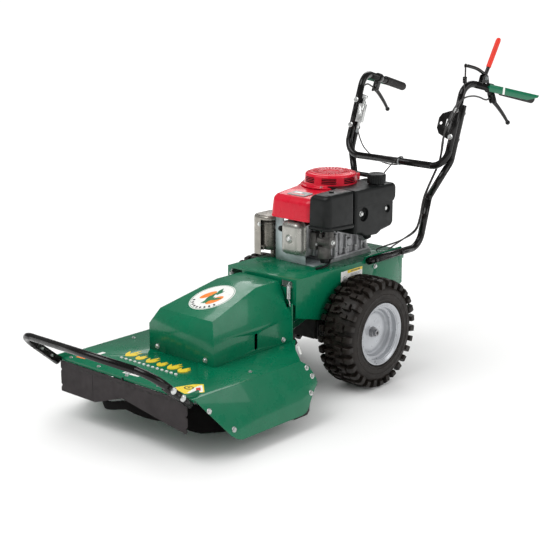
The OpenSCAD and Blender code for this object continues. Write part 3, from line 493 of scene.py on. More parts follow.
def dress_cad():
    """Materials, fine edges and shading for the CAD nodes that show."""
    dress(GREEN, "rear_frame", "deck_shell", "belt_cover", "hand_guards")
    dress(BLACK_GLOSS, "handle_lower_left", "handle_lower_right", "handle_upper", "push_bar",
          "control_plates", "clutch_link", "deck_skids", "idler_pulley")
    dress(CAST_IRON, "transaxle", "flywheel_fan", "spindle_housing")
    dress(STEEL, "pivot_shaft", "transaxle_pulley", "crankshaft", "drive_pulleys",
          "spindle_shaft", "spindle_pulley", "blade", "idler_arm")
    dress(BELT, "traction_belt")
    dress(CAST, "crankcase", "cylinder_head")
    dress(CAST_DARK, "carburettor")
    dress(ZINC_BLUE, "heat_shield")
    dress(ZINC, "throttle_body", "throttle_lever")
    dress(BLACK_PLASTIC, "oil_cap", "starter_grip")
    deck = NODES["deck_shell"].data
    deck.materials.append(BLACK_GLOSS)
    for p in deck.polygons:
        if p.center.y < BRACKET_Y:
            p.material_index = 1
    for n, w in (("rear_frame", 1.0), ("deck_shell", 1.0), ("belt_cover", 2.0),
                 ("hand_guards", 1.0), ("crankcase", 3.0), ("cylinder_head", 1.0),
                 ("carburettor", 1.5), ("heat_shield", 0.6),
                 ("control_plates", 0.6), ("throttle_body", 2.0), ("throttle_lever", 0.7),
                 ("transaxle", 1.5), ("oil_cap", 1.5), ("blade", 0.6),
                 ("deck_skids", 1.0), ("starter_grip", 1.5)):
        soften(n, w)
    for n, obj in NODES.items():
        if not obj.modifiers:
            obj.modifiers.new("weld", "WELD").merge_threshold = 1e-5
        shade(obj, 32)


# ---------- wheels ----------

def tyre(side, name):
    """Carcass with a ribbed side wall, hooked tread blocks and shoulder knobs."""
    lo, hi = mm_box("tyre_" + name)
    centre = Vector((0, (lo.y + hi.y) / 2, (lo.z + hi.z) / 2))
    outer = (hi.z - lo.z) / 2
    x_near = max(abs(lo.x), abs(hi.x))
    x_far = min(abs(lo.x), abs(hi.x))
    mid, half = (x_near + x_far) / 2, (x_near - x_far) / 2
    bead = outer * 0.55
    side_wall = [(bead, half - 16), (bead + 4.5, half - 10), (bead + 7, half - 4.5),
                 (bead + 9.5, half - 2), (bead + 12, half - 3.4), (bead + 15, half - 3.2),
                 (bead + 18, half - 1.4), (bead + 21, half - 2.6), (bead + 34, half - 1.8),
                 (bead + 36, half - 0.4), (bead + 38, half - 1.8), (bead + 50, half - 2.8),
                 (bead + 58, half - 6), (bead + 66, half - 13), (bead + 71, half - 22),
                 (bead + 74, 34), (bead + 76, 0)]
    carcass = [(r, mid + x) for r, x in side_wall]
    carcass += [(r, mid - x) for r, x in side_wall[::-1][1:]]
    inner = [(bead - 2, x_far + 30), (bead + 52, x_far + 22), (bead + 52, x_near - 22),
             (bead - 2, x_near - 30)]
    parts = Build()
    parts.add(revolve(carcass + inner, 120, centre, (side, 0, 0), (0, 0, 1), closed=True))
    ax = Vector((side, 0, 0))
    up, across, _ = basis((side, 0, 0), (0, 0, 1))

    def spot(r, x, a):
        return centre + ax * (mid + x) + (up * math.cos(a) + across * math.sin(a)) * r

    def crown(x):
        return outer - 3.2 * (x / half) ** 2

    def block(outline, phase, bottom=17.0, draft=1.6):
        """Tread block: outline of (arc mm, x mm from the middle) standing on the carcass."""
        pts = [Vector(q) for q in outline]
        if area(pts) < 0:
            pts = pts[::-1]
        verts = []
        levels = [(0.0, bottom), (0.4, 4.0), (draft * 0.5, 1.0), (draft, 0.0)]
        for d, drop in levels:
            for q in inset(pts, d):
                verts.append(spot(crown(q.y) - drop, q.y, phase + q.x / outer))
        return verts, skin(len(levels), len(pts))

    def knob(s, phase, start, end, reach):
        """Shoulder knob wrapped over the tyre's edge and part of the way down its side."""
        section = [(crown(50), 47), (crown(58), 59), (outer - 5.5, half - 5), (outer - 9, half - 1.5),
                   (outer - 14, half - 0.2), (outer - reach + 2, half - 0.6),
                   (outer - reach, half - 3.5), (outer - reach - 2, half - 16),
                   (outer - 24, 47)]
        verts = []
        for a, ease in ((start, 1.0), (start + 1.2, 0.0), (end - 1.2, 0.0), (end, 1.0)):
            for r, x in section:
                r2 = r - ease * (1.2 if r > outer - 20 else 0)
                x2 = x - ease * (0.8 if x > half - 8 else 0)
                verts.append(spot(r2, s * x2, phase + a / outer))
        return verts, skin(4, len(section))

    lugs = 30
    pitch = TAU / lugs
    hook = [(-13, 10), (-5, 6), (-2, 22), (10, 22), (10, 7), (18, 9), (19, 38), (-9, 38)]
    centre_bar = [(-5, -7), (4, -9), (6, 7), (-3, 9)]
    for i in range(lugs):
        long_one = i % 2 == 0
        for s in (1, -1):
            phase = (i + (0.5 if s < 0 else 0)) * pitch
            if long_one:
                parts.add(block([(a, s * b) for a, b in hook], phase))
            else:
                parts.add(block([(-7, s * 14), (8, s * 11), (10, s * 41), (-6, s * 41)], phase))
            parts.add(knob(s, phase, -10.5, 11.0, 34 if long_one else 26))
        if long_one:
            parts.add(block(centre_bar, (i + 0.75) * pitch))
    parts.done("tyre_tread_" + name, "wheel_" + name, TYRE, "tyre_rubber", ["tyre_" + name], 30)


def rim(side, name):
    """Pressed dish with a valve, and the axle end with its hub."""
    lo, hi = mm_box("rim_" + name)
    centre = Vector((0, (lo.y + hi.y) / 2, (lo.z + hi.z) / 2))
    r = (hi.z - lo.z) / 2
    x = max(abs(lo.x), abs(hi.x))
    back = min(abs(lo.x), abs(hi.x))
    profile = [(r - 2.5, x - 3.2), (r - 0.4, x - 3), (r, x - 1.4), (r - 1.2, x), (r - 4, x - 0.2),
               (r - 7, x - 2.5), (r - 10, x - 5), (r - 13.5, x - 6.5), (r - 15.5, x - 12),
               (r - 16, x - 22), (r - 17.5, x - 24.5), (r - 22, x - 26), (r - 27, x - 27),
               (r - 29, x - 29.5), (r - 29.5, x - 40), (r - 31, x - 43), (r - 34, x - 44.5),
               (r - 40, x - 44.2), (r - 44, x - 42), (r - 52, x - 41), (r - 68, x - 42),
               (r - 78, x - 43.5), (r - 88, x - 44.5), (16, x - 44.5), (16, x - 47.5),
               (r - 88, x - 47.5), (r - 44, x - 45.5), (r - 34, x - 47.8), (r - 31, x - 47),
               (r - 28, x - 60), (r - 28, back + 40), (r - 16, back + 26), (r - 15, back + 4),
               (r - 1, back + 3), (r - 1, back), (r - 18, back), (r - 19, back + 24),
               (r - 31, back + 38), (r - 31, x - 62), (r - 33, x - 46), (r - 30, x - 40),
               (r - 20, x - 29), (r - 19, x - 24), (r - 17.5, x - 10)]
    parts = Build().add(revolve(profile, 128, centre, (side, 0, 0),
                                (0, 0, 1), closed=True))
    parts.add(revolve([(2.0, 4), (3.6, 4), (4, 8), (3.6, 12), (2.0, 12)], 16,
                      centre + Vector((side * (x - 44), r - 26, 10)), (side, -0.2, 0.1),
                      closed=True), 1)
    parts.done("rim_dish_" + name, "wheel_" + name, [RIM, BLACK_PLASTIC], "steel",
               ["rim_" + name])
    shaft_lo, shaft_hi = mm_box("axle_" + name)
    end = max(abs(shaft_lo.x), abs(shaft_hi.x))
    face = x - 44.5
    hub = Build()
    hub.add(revolve([(0.01, 8), (12.7, 8), (12.7, end - 2), (11.8, end), (6.4, end),
                     (5.8, end - 1), (5.2, end - 12), (0.01, end - 12)], 48, centre,
                    (side, 0, 0), (0, 0, 1)))
    hub.add(revolve([(12.8, face - 46), (22, face - 46), (22, face - 9), (58, face - 9),
                     (58, face - 3.2), (12.8, face - 3.2)], 48, centre, (side, 0, 0),
                    closed=True))
    hub.add(revolve([(12.8, face - 1), (20, face - 1), (20, face + 1.5), (19, face + 3),
                     (17.2, face + 3.4), (17.2, face + 12), (16.2, face + 13),
                     (12.8, face + 13)], 48, centre, (side, 0, 0), closed=True))
    hub.done("axle_hub_" + name, "wheel_" + name, STEEL, "steel", ["axle_" + name])


# ---------- engine ----------

CRANK = Vector((0, 185, 0))
SHROUD_TOP = 704.0
SHROUD_CLEAR = 143.0


def engine_shroud():
    """Red cowl: round over the flywheel, square ahead, with a sloping front."""
    lo = mm_box("fan_shroud")[0]
    r, base, top = 138.0, 608.0, SHROUD_TOP
    x0, x1, y0 = -101.0, 102.0, lo.y
    a0 = -math.acos(x1 / r)
    a1 = math.pi + math.acos(-x0 / r)
    arc = [CRANK.xy + Vector((r * math.cos(a), r * math.sin(a)))
           for a in (a0 + (a1 - a0) * k / 72 for k in range(73))]
    corner = rounded_outline([arc[-1], (x0, y0), (x1, y0), arc[0], CRANK.xy], [0, 30, 30, 0, 0], 10)
    outline = corner[1:-2] + arc
    outline = [p for i, p in enumerate(outline) if (p - outline[i - 1]).length > 0.5]

    def top_at(y):
        t = max(0.0, min(1.0, (y - y0) / 140.0))
        return 684.0 + (top - 684.0) * (1 - (1 - t) ** 2)

    def warp(v):
        k = (v.z - base) / (top - base)
        v = v.copy()
        v.z = base + k * (top_at(v.y) - base)
        if v.y < 40:
            v.y += 5.0 * k * (40 - v.y) / 90.0
        if v.x < -60:
            v.x += 8.0 * k * k * (-60 - v.x) / 41.0
        return v

    rings = [(3.5, base - 1), (0, base - 1), (-1.0, base), (-1.0, base + 6), (0, base + 7.5),
             (0.2, base + 40)] + fillet(22, top, 1, 9, 0.8)
    shroud = Build().add(slab(outline, rings, warp=warp)).done(
        "shroud_cover", "chassis", RED, "red_paint", ["fan_shroud"], 40)
    cut(shroud, [slab(outline, [(9, base - 30), (9, base + 50)])])


def recoil_start():
    """Round starter housing with louvres in its wall and slots in its top; their recesses are coloured
    dark red as painted shade.
    """
    hi = mm_box("recoil_housing")[1]
    z0, z1 = SHROUD_TOP, hi.z
    profile = [(113, z0), (113, z0 + 3), (111.5, z0 + 4.6), (104, z0 + 5.6), (101, z0 + 7.5),
               (99.5, z0 + 10)]
    wall = [z0 + 10 + (z1 - 14 - z0 - 10) * k / 18 for k in range(1, 19)]
    profile += [(99.5 - (z - z0 - 10) * 0.11, z) for z in wall]
    edge_r = profile[-1][0]
    profile += [(edge_r - 11 * (1 - math.cos(t)), z1 - 14 + 10.5 * math.sin(t))
                for t in (math.pi / 2 * k / 6 for k in range(1, 7))]
    profile += [(edge_r - 14, z1 - 2.6), (edge_r - 17, z1 - 0.6), (edge_r - 19, z1), (70, z1 - 0.3),
                (68, z1 - 0.6), (67, z1 - 0.8), (49, z1 - 1.6), (48, z1 - 1.8), (46, z1 - 2),
                (30, z1 - 2.2), (29, z1 - 3.6), (12, z1 - 3.8), (0.01, z1 - 3.8)]
    n_wall = 6

    def grouped(a):
        u = ((a - math.radians(-55)) * 7 / TAU + 0.5) % 1.0
        return abs(u - 0.5) < 0.32

    def slot_top(a):
        return (a * 30 / TAU) % 1.0 < 0.42

    top_in = len(profile) - 6

    def shape(a, j, r, h):
        if j in (n_wall + 4, n_wall + 5, n_wall + 8, n_wall + 9, n_wall + 12, n_wall + 13,
                 n_wall + 16) and grouped(a):
            return r - 8.0, h
        if j in (top_in - 2, top_in - 1) and slot_top(a):
            return r, h - 7.0
        return r, h

    # Painted shade: the recess faces of the louvres and top slots take the dark red.
    def dark(a, j):
        if j in (n_wall + 3, n_wall + 4, n_wall + 7, n_wall + 8, n_wall + 11, n_wall + 12,
                 n_wall + 15) and grouped(a):
            return True
        return j == top_in - 2 and slot_top(a)

    parts = Build().add(revolve(profile, 360, CRANK, (0, 0, 1), (1, 0, 0), shape=shape, dark=dark))
    parts.add(box((8, 245, 711), (52, 298, 738), 7))
    parts.done("recoil_cover", "chassis", [RED, RED_PAINTED_SHADE], "red_paint", ["recoil_housing"], 30)
    bits = Build()
    for k in range(4):
        a = TAU * (k / 4) + 0.35
        p = CRANK + Vector((106 * math.cos(a), 106 * math.sin(a), z0 + 5.2))
        bits.add(hex_bolt(p, (0, 0, 1), 4.2))
    bits.add(hex_bolt((88, 128, z0 - 1.0), (0, 0, 1), 5.5))
    bits.done("recoil_screws", "chassis", ZINC, "zinc")


def shroud_badge():
    """Slanted badge on the cowl."""
    place = in_frame((2, 2, 694.6), (1, 0, 0), (0, 1, 0.16))
    parts = Build()
    plate = rounded_outline([(-44, -20), (40, -20), (52, 20), (-32, 20)], 4, 4)
    parts.add(slab(plate, [(0, -4), (0, 1.2), (0.8, 1.8)], place), 0)
    inner = rounded_outline([(-39, -16), (36, -16), (46, 16), (-29, 16)], 3, 4)
    parts.add(slab(inner, [(0, 1), (0, 2.0)], place), 1)
    parts.add(slab(rounded_outline([(-32, -12), (30, -12), (33, -5), (-30, -5)], 1, 2),
                   [(0, 1), (0, 2.2)], place), 2)
    parts.add(slab(rounded_outline([(-24, 2), (8, 2), (11, 9), (-22, 9)], 1, 2),
                   [(0, 1), (0, 2.2)], place), 3)
    parts.done("shroud_badge", "chassis", [GREY, BADGE, LABEL_RED, WHITE], "zinc")


def air_cleaner():
    """Black cover beside the cowl, hollowed around it."""
    lo, hi = mm_box("air_cleaner_cover")
    x0, x1, y0, y1, top = lo.x, hi.x - 3, lo.y + 2, hi.y, hi.z
    clear = SHROUD_CLEAR
    c = CRANK.xy
    a_start = math.atan2(y1 - c.y, math.sqrt(clear ** 2 - (y1 - c.y) ** 2))
    a_end = -math.acos(x0 / clear)
    arc = [c + Vector((clear * math.cos(a), clear * math.sin(a)))
           for a in (a_start + (a_end - a_start) * k / 10 for k in range(11))]
    base = rounded_outline([Vector((x0, y0 + 4)), Vector((x1, y0)), Vector((x1, y1)), arc[0],
                            arc[-1]], [0, 27, 17, 0, 0], 9)
    outline = base[:-2] + arc
    outline = [p for i, p in enumerate(outline) if (p - outline[i - 1]).length > 0.4]
    low_front, low_back = 591.0, 583.0
    floor = 583.0

    def warp(v):
        t = (v.y - y0) / (y1 - y0)
        zb = low_front + (low_back - low_front) * t
        zt = top - 12.0 * max(0.0, 1 - (v.y - y0) / 40.0) ** 2
        k = (v.z - floor) / (top - floor)
        v = v.copy()
        v.z = zb + k * (zt - zb)
        return v

    rings = [(8, floor + 1), (4, floor - 3), (1, floor - 3), (-2.6, floor), (-3.0, floor + 2),
             (-3.0, floor + 9), (-2.4, floor + 10.5), (0.2, floor + 11.2), (0.8, floor + 13),
             (0.2, floor + 14.5), (0.2, floor + 60), (1.0, top - 22)] \
        + fillet(14, top, 1, 7, 1.2)
    obj = Build().add(slab(outline, rings, warp=warp)).done(
        "air_cleaner_shell", "chassis", BLACK_PLASTIC, "black_plastic", ["air_cleaner_cover"], 40)
    knob = Build()
    knob.add(revolve([(0.01, 0), (9, 0), (9, 5), (7.5, 6.5), (0.01, 6.5)], 24,
                     (146, 12, top - 3.5), (0, 0, 1)))
    knob.done("air_cleaner_nut", "chassis", BLACK_PLASTIC, "black_plastic")
    return obj


def fuel_tank():
    """Deep rear part and shallow top part, with two bolts in round pockets."""
    lo, hi = mm_box("fuel_tank")
    x0, x1, y0, y1, top = lo.x + 2, hi.x - 2, lo.y + 1, hi.y, hi.z - 10
    place = lambda v: Vector((v.z, v.x, v.y))
    low = rounded_outline([(y0, 553), (134, 551), (158, 536), (234, 530), (258, 542), (318, 551),
                           (y1 - 13, 566), (y1 - 13, 694), (y0, 694)],
                          [0, 20, 40, 30, 30, 16, 14, 14, 0], 5)
    high = rounded_outline([(y0, 642), (y1 - 10, 642), (y1, 660), (y1, top), (y0, top)],
                           [0, 14, 14, 22, 0], 7)
    r = 13.0
    parts = Build()
    parts.add(slab(low, [(0, x0), (0, x1 - 28)] + fillet(r, x1 - 1.5, 1, 7), place))
    parts.add(slab(high, [(0, x0), (0, x1 - 26)] + fillet(r, x1, 1, 7), place))
    obj = parts.done("fuel_tank_shell", "chassis", BLACK_PLASTIC, "black_plastic", ["fuel_tank"],
                     40)
    screws = [Vector((x1, 147, 621)), Vector((x1, 289, 621))]
    pocket_r = [26.0, 15.0]
    tools = [peg(SHROUD_CLEAR, 500, 760, 96, CRANK)]
    for p, pr in zip(screws, pocket_r):
        tools.append(revolve([(0.01, -15), (pr - 3, -15), (pr - 0.8, -13), (pr, -2), (pr + 2.5, 0.6),
                              (pr + 3, 8), (0.01, 8)], 40, p, (1, 0, 0)))
    cut(obj, tools)
    bits = Build()
    for p in screws:
        bits.add(hex_bolt(p - Vector((15, 0, 0)), (1, 0, 0), 7.5))
    bits.done("tank_bolts", "chassis", ZINC, "zinc")
    neck = Build()
    neck.add(revolve([(0.01, top - 3), (31, top - 3), (29, top + 2), (26, top + 3), (26, top + 11),
                      (0.01, top + 11)], 48, (160, 255, 0)))
    neck.done("tank_neck", "chassis", BLACK_PLASTIC, "black_plastic")


def filler_cap():
    """Ribbed cap of the fuel tank."""
    lo, hi = mm_box("fuel_cap")
    c = (lo + hi) / 2
    r = (hi.x - lo.x) / 2 - 1.2
    z0, z1 = lo.z + 1, hi.z

    def shape(a, j, rr, h):
        if 1 < j < 6:
            u = (a * 24 / TAU) % 1.0
            return rr - (1.8 if u < 0.45 else 0.0), h
        return rr, h

    profile = [(26.5, z0), (r - 4, z0), (r - 1.5, z0 + 1.5), (r - 0.5, z0 + 3), (r, z0 + 22),
               (r, z1 - 8), (r - 0.6, z1 - 5), (r - 3, z1 - 1.5), (r - 7, z1), (r - 12, z1 - 0.3),
               (r - 14, z1 - 1.6), (0.01, z1 - 1.9)]
    Build().add(revolve(profile, 144, (c.x, c.y, 0), shape=shape)).done(
        "fuel_cap_ribbed", "tank_cap", BLACK_PLASTIC, "black_plastic", ["fuel_cap"], 30)


def rocker_cover():
    """Pressed cover with rounded steps and one bolt in the middle."""
    lo, hi = mm_box("valve_cover")
    cx, cz = (lo.x + hi.x) / 2, (lo.z + hi.z) / 2
    w, h = (hi.x - lo.x), (hi.z - lo.z)
    back, front = hi.y, lo.y + 5
    place = in_frame((cx, back, cz), (1, 0, 0), (0, 0, 1))
    outline = rect(-w / 2, -h / 2, w / 2, h / 2, 27, 9)
    deep = back - front
    rings = [(0, 0), (0, 3.5), (3.6, 4.2), (4.4, 5.5), (4.6, deep * 0.45), (5.4, deep * 0.6),
             (7.2, deep * 0.74), (10, deep * 0.85), (14, deep * 0.93), (19, deep * 0.98),
             (26, deep)]
    parts = Build().add(slab(outline, rings, place))
    parts.add(revolve([(17, deep - 0.4), (15.5, deep + 1.2), (13.5, deep + 0.4),
                       (10, deep - 0.6), (0.01, deep - 0.6)][::-1], 32, place((0, 0, 0)),
                      (0, -1, 0)))
    parts.done("rocker_cover_pressed", "chassis", BRUSHED, "zinc", ["valve_cover"], 40)
    hub = place((0, 0, deep - 1))
    Build().add(hex_bolt(hub, (0, -1, 0), 8.0)).done("rocker_cover_bolt", "chassis", ZINC, "zinc")


def exhaust():
    """Muffler shell inside its open-sided guard."""
    lo, hi = mm_box("muffler")
    g_lo, g_hi = mm_box("muffler_guard")
    c = Vector(((lo.x + hi.x) / 2, 14, 0))
    w, d = 80.0, 96.0
    z0, z1 = 467.0, 584.0
    o = rect(c.x - w / 2, c.y - d / 2, c.x + w / 2, c.y + d / 2, 30, 9)
    rings = [(a, z0 + z1 - h) for a, h in fillet(12, z1, 1, 6)][::-1]
    rings += [(0, z0 + 16), (-2.2, z0 + 17), (-2.2, z0 + 20), (0, z0 + 21), (0, z1 - 21),
              (-2.2, z1 - 20), (-2.2, z1 - 17), (0, z1 - 16)] + fillet(12, z1, 1, 6)
    body = Build().add(slab(o, rings))
    body.add(revolve([(5.5, 0), (9, 0), (9, 12), (8, 13), (5.5, 13)], 32,
                     (c.x + 8, c.y - d / 2 + 2, z0 + 14), (0, -1, -0.25), closed=True))
    for y in (0.0, 40.0):
        body.add(box((c.x + 16, y - 8, 437.2), (c.x + 32, y + 8, z0 + 6), 1.5))
    body.done("muffler_shell", "chassis", MUFFLER_DARK, "steel", ["muffler"])
    x0, x1, y0, y1 = g_lo.x, g_hi.x, g_lo.y, g_hi.y
    z0, z1 = g_lo.z, g_hi.z
    outer = rect(x0, y0, x1, y1, 32, 10)
    guard = Build().add(slab(outer, [(0, z0), (0, z1 - 12)] + fillet(12, z1, 1, 7)))
    obj = guard.done("muffler_guard_sheet", "chassis", MUFFLER, "steel", ["muffler_guard"], 40)
    inner = rect(x0 + 2, y0 + 2, x1 - 2, y1 - 2, 30, 10)
    hollow = slab(inner, [(0, z0 - 5), (0, z1 - 13)] + fillet(11, z1 - 2, 1, 6))
    side = box((x1 - 46, y0 - 10, z0 - 10), (x1 + 10, y1 + 10, z1 - 16), 6)
    for part in (hollow, side):
        cut(obj, [part])
    bits = Build().add(hex_bolt((x0 + 44, y0, z1 - 34), (0, -1, 0), 6))
    bits.add(hex_bolt((x1 - 18, c.y - 30, z1 - 1), (0, 0, 1), 5))
    bits.done("muffler_screws", "chassis", ZINC, "zinc")


def engine_details():
    """Small castings, studs and linkage around the crankcase and carburettor."""
    parts = Build()
    x = 88.0
    for k, y in enumerate((96, 128, 160, 192, 224, 256)):
        parts.add(box((x - 4, y - 4, 452), (x + 12 - (k % 2) * 4, y + 4, 548 - (k % 3) * 10), 3))
    parts.add(box((x - 4, 84, 548), (x + 10, 296, 556), 3))
    parts.add(box((x - 4, 84, 449), (x + 16, 296, 460), 4))
    parts.add(revolve([(0.01, 0), (16, 0), (16, 12), (13, 15), (0.01, 15)], 32,
                      (x - 2, 176, 500), (1, 0, 0)))
    for y in (100, 160, 220, 280):
        parts.add(revolve([(0.01, 0), (9, 0), (9, 20), (7, 22), (0.01, 22)], 24,
                          (x + 6, y, 455), (0, 0, 1)))
    parts.done("crankcase_ribs", "chassis", CAST, "cast_alloy")
    bolts = Build()
    for y in (100, 160, 220, 280):
        bolts.add(hex_bolt((x + 6, y, 477), (0, 0, 1), 5))
    for z, y in ((566, 22), (494, 30), (520, -2)):
        bolts.add(hex_bolt((90, y, z), (1, 0, 0), 5))
    bolts.add(hex_bolt((151, 16, 532), (1, 0, 0), 7))
    bolts.add(peg(3, 0, 30, 16, (128, 40, 560), (0, 0, 1)))
    bolts.done("engine_bolts", "chassis", ZINC, "zinc")
    link = Build()
    link.add(sweep(smooth_path([(150, 40, 566), (128, 60, 572), (104, 80, 566), (98, 98, 552)]), 1.8,
                   8))
    link.add(box((118, 28, 556), (146, 44, 559), 1))
    link.add(sweep(smooth_path([(104, 60, 470), (124, 30, 452), (136, -10, 446),
                                (120, -40, 441)]), 4.2, 12))
    link.add(revolve([(0.01, 0), (14, 0), (15, 3), (15, 14), (12, 18), (0.01, 18)], 32,
                     (112, 16, 452), (0, 0, 1)))
    link.done("engine_linkage", "chassis", BLACK_PLASTIC, "black_plastic")
    plug = Build()
    plug.add(revolve([(0.01, 0), (10, 0), (11, 4), (11, 16), (8, 24), (0.01, 24)], 24,
                     (-44, -26, 560), (-0.2, -1, 0.35)))
    plug.done("spark_plug_boot", "chassis", BLACK_PLASTIC, "black_plastic")


# ---------- handles ----------

LEG_X = 243
APEX = Vector((LEG_X, 685, 1060))
GRIP_END = Vector((319, 1046, 967))
BRAKE_PIVOT = Vector((287, 818, 978))
CLUTCH_PIVOT = Vector((262, 790, 1066))


def mirrored(part):
    """The same shape on the other side of the machine."""
    return ([Vector((-v.x, v.y, v.z)) for v in map(Vector, part[0])],
            [f[::-1] for f in part[1]]) + tuple(part[2:])


def grips():
    """Ribbed rubber grips."""
    along = (GRIP_END - APEX).normalized()
    start, end = -176.0, 8.0
    r = 17.4
    profile = [(13.6, start), (r - 1, start), (r, start + 2), (r, start + 8)]
    k = start + 10
    while k < end - 14:
        profile += [(r, k), (r - 1.0, k + 1.2), (r - 1.0, k + 3.2), (r, k + 4.4)]
        k += 7.6
    profile += [(r, end - 9), (r, end - 4), (r - 2.5, end - 1), (r - 6, end), (0.01, end)]
    part = revolve(profile, 40, GRIP_END, along)
    for name, shape in (("left", part), ("right", mirrored(part))):
        Build().add(shape).done("grip_sleeve_" + name, "chassis", RUBBER_AND_SLOT_SHADE, "rubber",
                                ["grip_" + name], 30)


def brake_levers():
    """Bowed lever arms with ball ends."""
    pivot, tip = BRAKE_PIVOT, Vector((297, 917, 884))
    parts = Build()
    parts.add(peg(4, -9, 9, 24, pivot, (1, 0, 0)))
    parts.add(revolve([(0.01, -5), (9, -5), (9.5, -3), (9.5, 3), (9, 5), (0.01, 5)], 32, pivot,
                      (1, 0, 0)))
    d = tip - pivot
    bow = Vector((0, 2, 3))
    path = smooth_path([pivot, pivot + d * 0.3 + bow, pivot + d * 0.7 + bow, tip], 10)
    parts.add(sweep(path, lambda t: 8.6 - 2.6 * t, 14, False))
    ball = [(9.4 * math.sin(math.pi * k / 12) + 0.01, -9.4 * math.cos(math.pi * k / 12))
            for k in range(13)]
    parts.add(revolve(ball, 28, tip, d))
    base = (parts.verts, parts.faces)
    for name, shape in (("left", base), ("right", mirrored(base))):
        Build().add(shape).done("brake_arm_" + name, "brake_" + name, BLACK_GLOSS, "black_paint",
                                ["brake_lever_" + name])


def clamps():
    """Lever perches on the grips: a split ring with a fork down to the lever pivot."""
    along = (GRIP_END - APEX).normalized()
    pivot = BRAKE_PIVOT
    seat = APEX + along * ((818 - APEX.y) / along.y)
    down = pivot - seat
    parts = Build()
    parts.add(revolve([(13.5, -13), (18, -13), (19, -11), (19, 11), (18, 13), (13.5, 13)], 40, seat,
                      along, closed=True), 1)
    u = Vector((1, 0, 0))
    v = down.cross(u).normalized()
    w = u.cross(v)
    depth = abs(down.dot(w))
    sign = 1 if down.dot(w) > 0 else -1
    fork = rounded_outline([(-13, -12), (11, -12), (13, 12), (-11, 12)], 5, 5)

    def place(q):
        return seat + u * (q[0] + down.x * q[2] / depth) + v * q[1] + w * sign * q[2]

    for x in (-8.5, 8.5):
        parts.add(slab(rect(x - 2.5, -11, x + 2.5, 11, 1, 2),
                       [(0, depth * 0.45), (0, depth + 3), (2.5, depth + 10)], place))
    parts.add(slab(fork, [(0, 12), (0, depth * 0.52), (3, depth * 0.56)], place))
    parts.add(revolve([(0.01, -13), (4.5, -13), (5.5, -12), (5.5, -11), (3, -11), (3, 11),
                       (5.5, 11), (5.5, 12), (4.5, 13), (0.01, 13)], 20, pivot, u), 1)
    one = (parts.verts, parts.faces, parts.index)
    both_sides = Build().add(one).add(mirrored(one))
    bracket = [(762, 1042), (772, 1053), (800, 1046), (814, 1040), (805, 1074), (796, 1080),
               (780, 1080), (774, 1074)]
    for x in (-10, 7):
        both_sides.add(slab(poly(bracket), [(0, 262 + x), (0, 265 + x)],
                            lambda q: Vector((q[2], q[0], q[1]))))
    both_sides.add(hex_bolt((272, 790, 1066), (1, 0, 0), 6), 1)
    both_sides.done("lever_perches", "chassis", [BLACK_GLOSS, GREY], "black_plastic",
                    ["lever_clamps"])


def clutch_lever():
    """Blade lever: bent bar, hook arm and long red grip."""
    p, hook = CLUTCH_PIVOT, Vector((262, 676, 1122))
    foot, top = Vector((262, 818, 1108)), Vector((262, 884, 1212))
    parts = Build()
    parts.add(peg(4, -14, 14, 24, p, (1, 0, 0)))
    parts.add(peg(9, -6, 6, 32, p, (1, 0, 0)))
    parts.add(sweep([p, p.lerp(foot, 0.5), foot, foot + (top - foot) * 0.2], 7.4, 16, False))
    bend = p.lerp(foot, 0.3)
    parts.add(sweep(smooth_path([bend, bend.lerp(hook, 0.5) + Vector((0, 3, 5)), hook], 8), 6.6,
                    16))
    parts.add(peg(4, -14, 5, 24, hook, (1, 0, 0)))
    length = (top - foot).length
    profile = [(7.0, -3), (8.6, -3), (9.4, 0), (9.8, 4), (9.2, 8), (9.6, 14),
               (9.8, length * 0.5), (9.8, length - 12), (9, length - 4), (6, length),
               (0.01, length + 0.6)]
    grip = revolve(profile, 40, foot, top - foot)
    parts.add((grip[0], grip[1]), 1)
    parts.done("clutch_handle", "clutch_lever", [BLACK_GLOSS, RED_GRIP], "red_plastic",
               ["blade_lever"])


def cables():
    """Bowden cables from the levers and the throttle down to the frame."""
    parts = Build()
    near = [(286, 797, 990), (285, 778, 986), (284, 758, 990), (284, 733, 999), (283, 691, 1008),
            (275, 648, 1006), (262, 616, 985), (240, 604, 940), (224, 592, 880), (212, 594, 800),
            (190, 602, 740), (158, 568, 622), (155, 545, 540), (152, 516, 490), (138, 440, 464),
            (118, 380, 452), (104, 346, 444), (102, 338, 437.5)]
    far = [(286, 812, 981), (284, 785, 994), (282, 758, 1004), (281, 732, 999), (278, 712, 984),
           (266, 692, 955), (262, 674, 900), (262, 657, 850), (258, 638, 790), (234, 608, 700),
           (203, 578, 622), (204, 552, 540), (203, 526, 484), (190, 470, 466), (162, 432, 462),
           (142, 406, 452), (136, 398, 437.5)]
    parts.add(sweep(smooth_path(near), 3.2, 10))
    parts.add(mirrored(sweep(smooth_path(far), 3.2, 10)))
    throttle = [(-207, 602, 846), (-206, 606, 829), (-198, 610, 800), (-176, 610, 768),
                (-124, 604, 738), (-60, 596, 722), (0, 594, 724), (26, 594, 744), (34, 580, 760),
                (22, 562, 752), (-28, 545, 690), (-44, 500, 620), (-52, 420, 500),
                (-54, 396, 437.5)]
    parts.add(sweep(smooth_path(throttle), 2.6, 10))
    clutch = [(250, 676, 1057), (251, 672, 1046), (264, 656, 1020), (256, 634, 975),
              (240, 614, 925), (220, 590, 860), (204, 596, 780), (182, 606, 734),
              (150, 574, 622), (147, 552, 540), (144, 528, 494), (146, 450, 470),
              (149, 384, 456), (150, 350, 446), (150, 344, 437.5)]
    parts.add(sweep(smooth_path(clutch), 2.8, 10))
    parts.done("cable_run", "chassis", CABLE, "rubber", ["control_cables"])
    clips = Build()
    clips.add(revolve([(13.6, -3), (15.4, -3), (15.4, 3), (13.6, 3)], 32, (28, 574.4, 743),
                      (1, 0, 0), closed=True))
    clips.add(revolve([(0.01, 0), (4.5, 0), (5, 3), (5, 16), (3.5, 18), (0.01, 18)], 20,
                      (-207, 602.4, 846), (0, -0.33, -0.94)))
    clips.done("cable_clips", "chassis", GREY, "zinc")


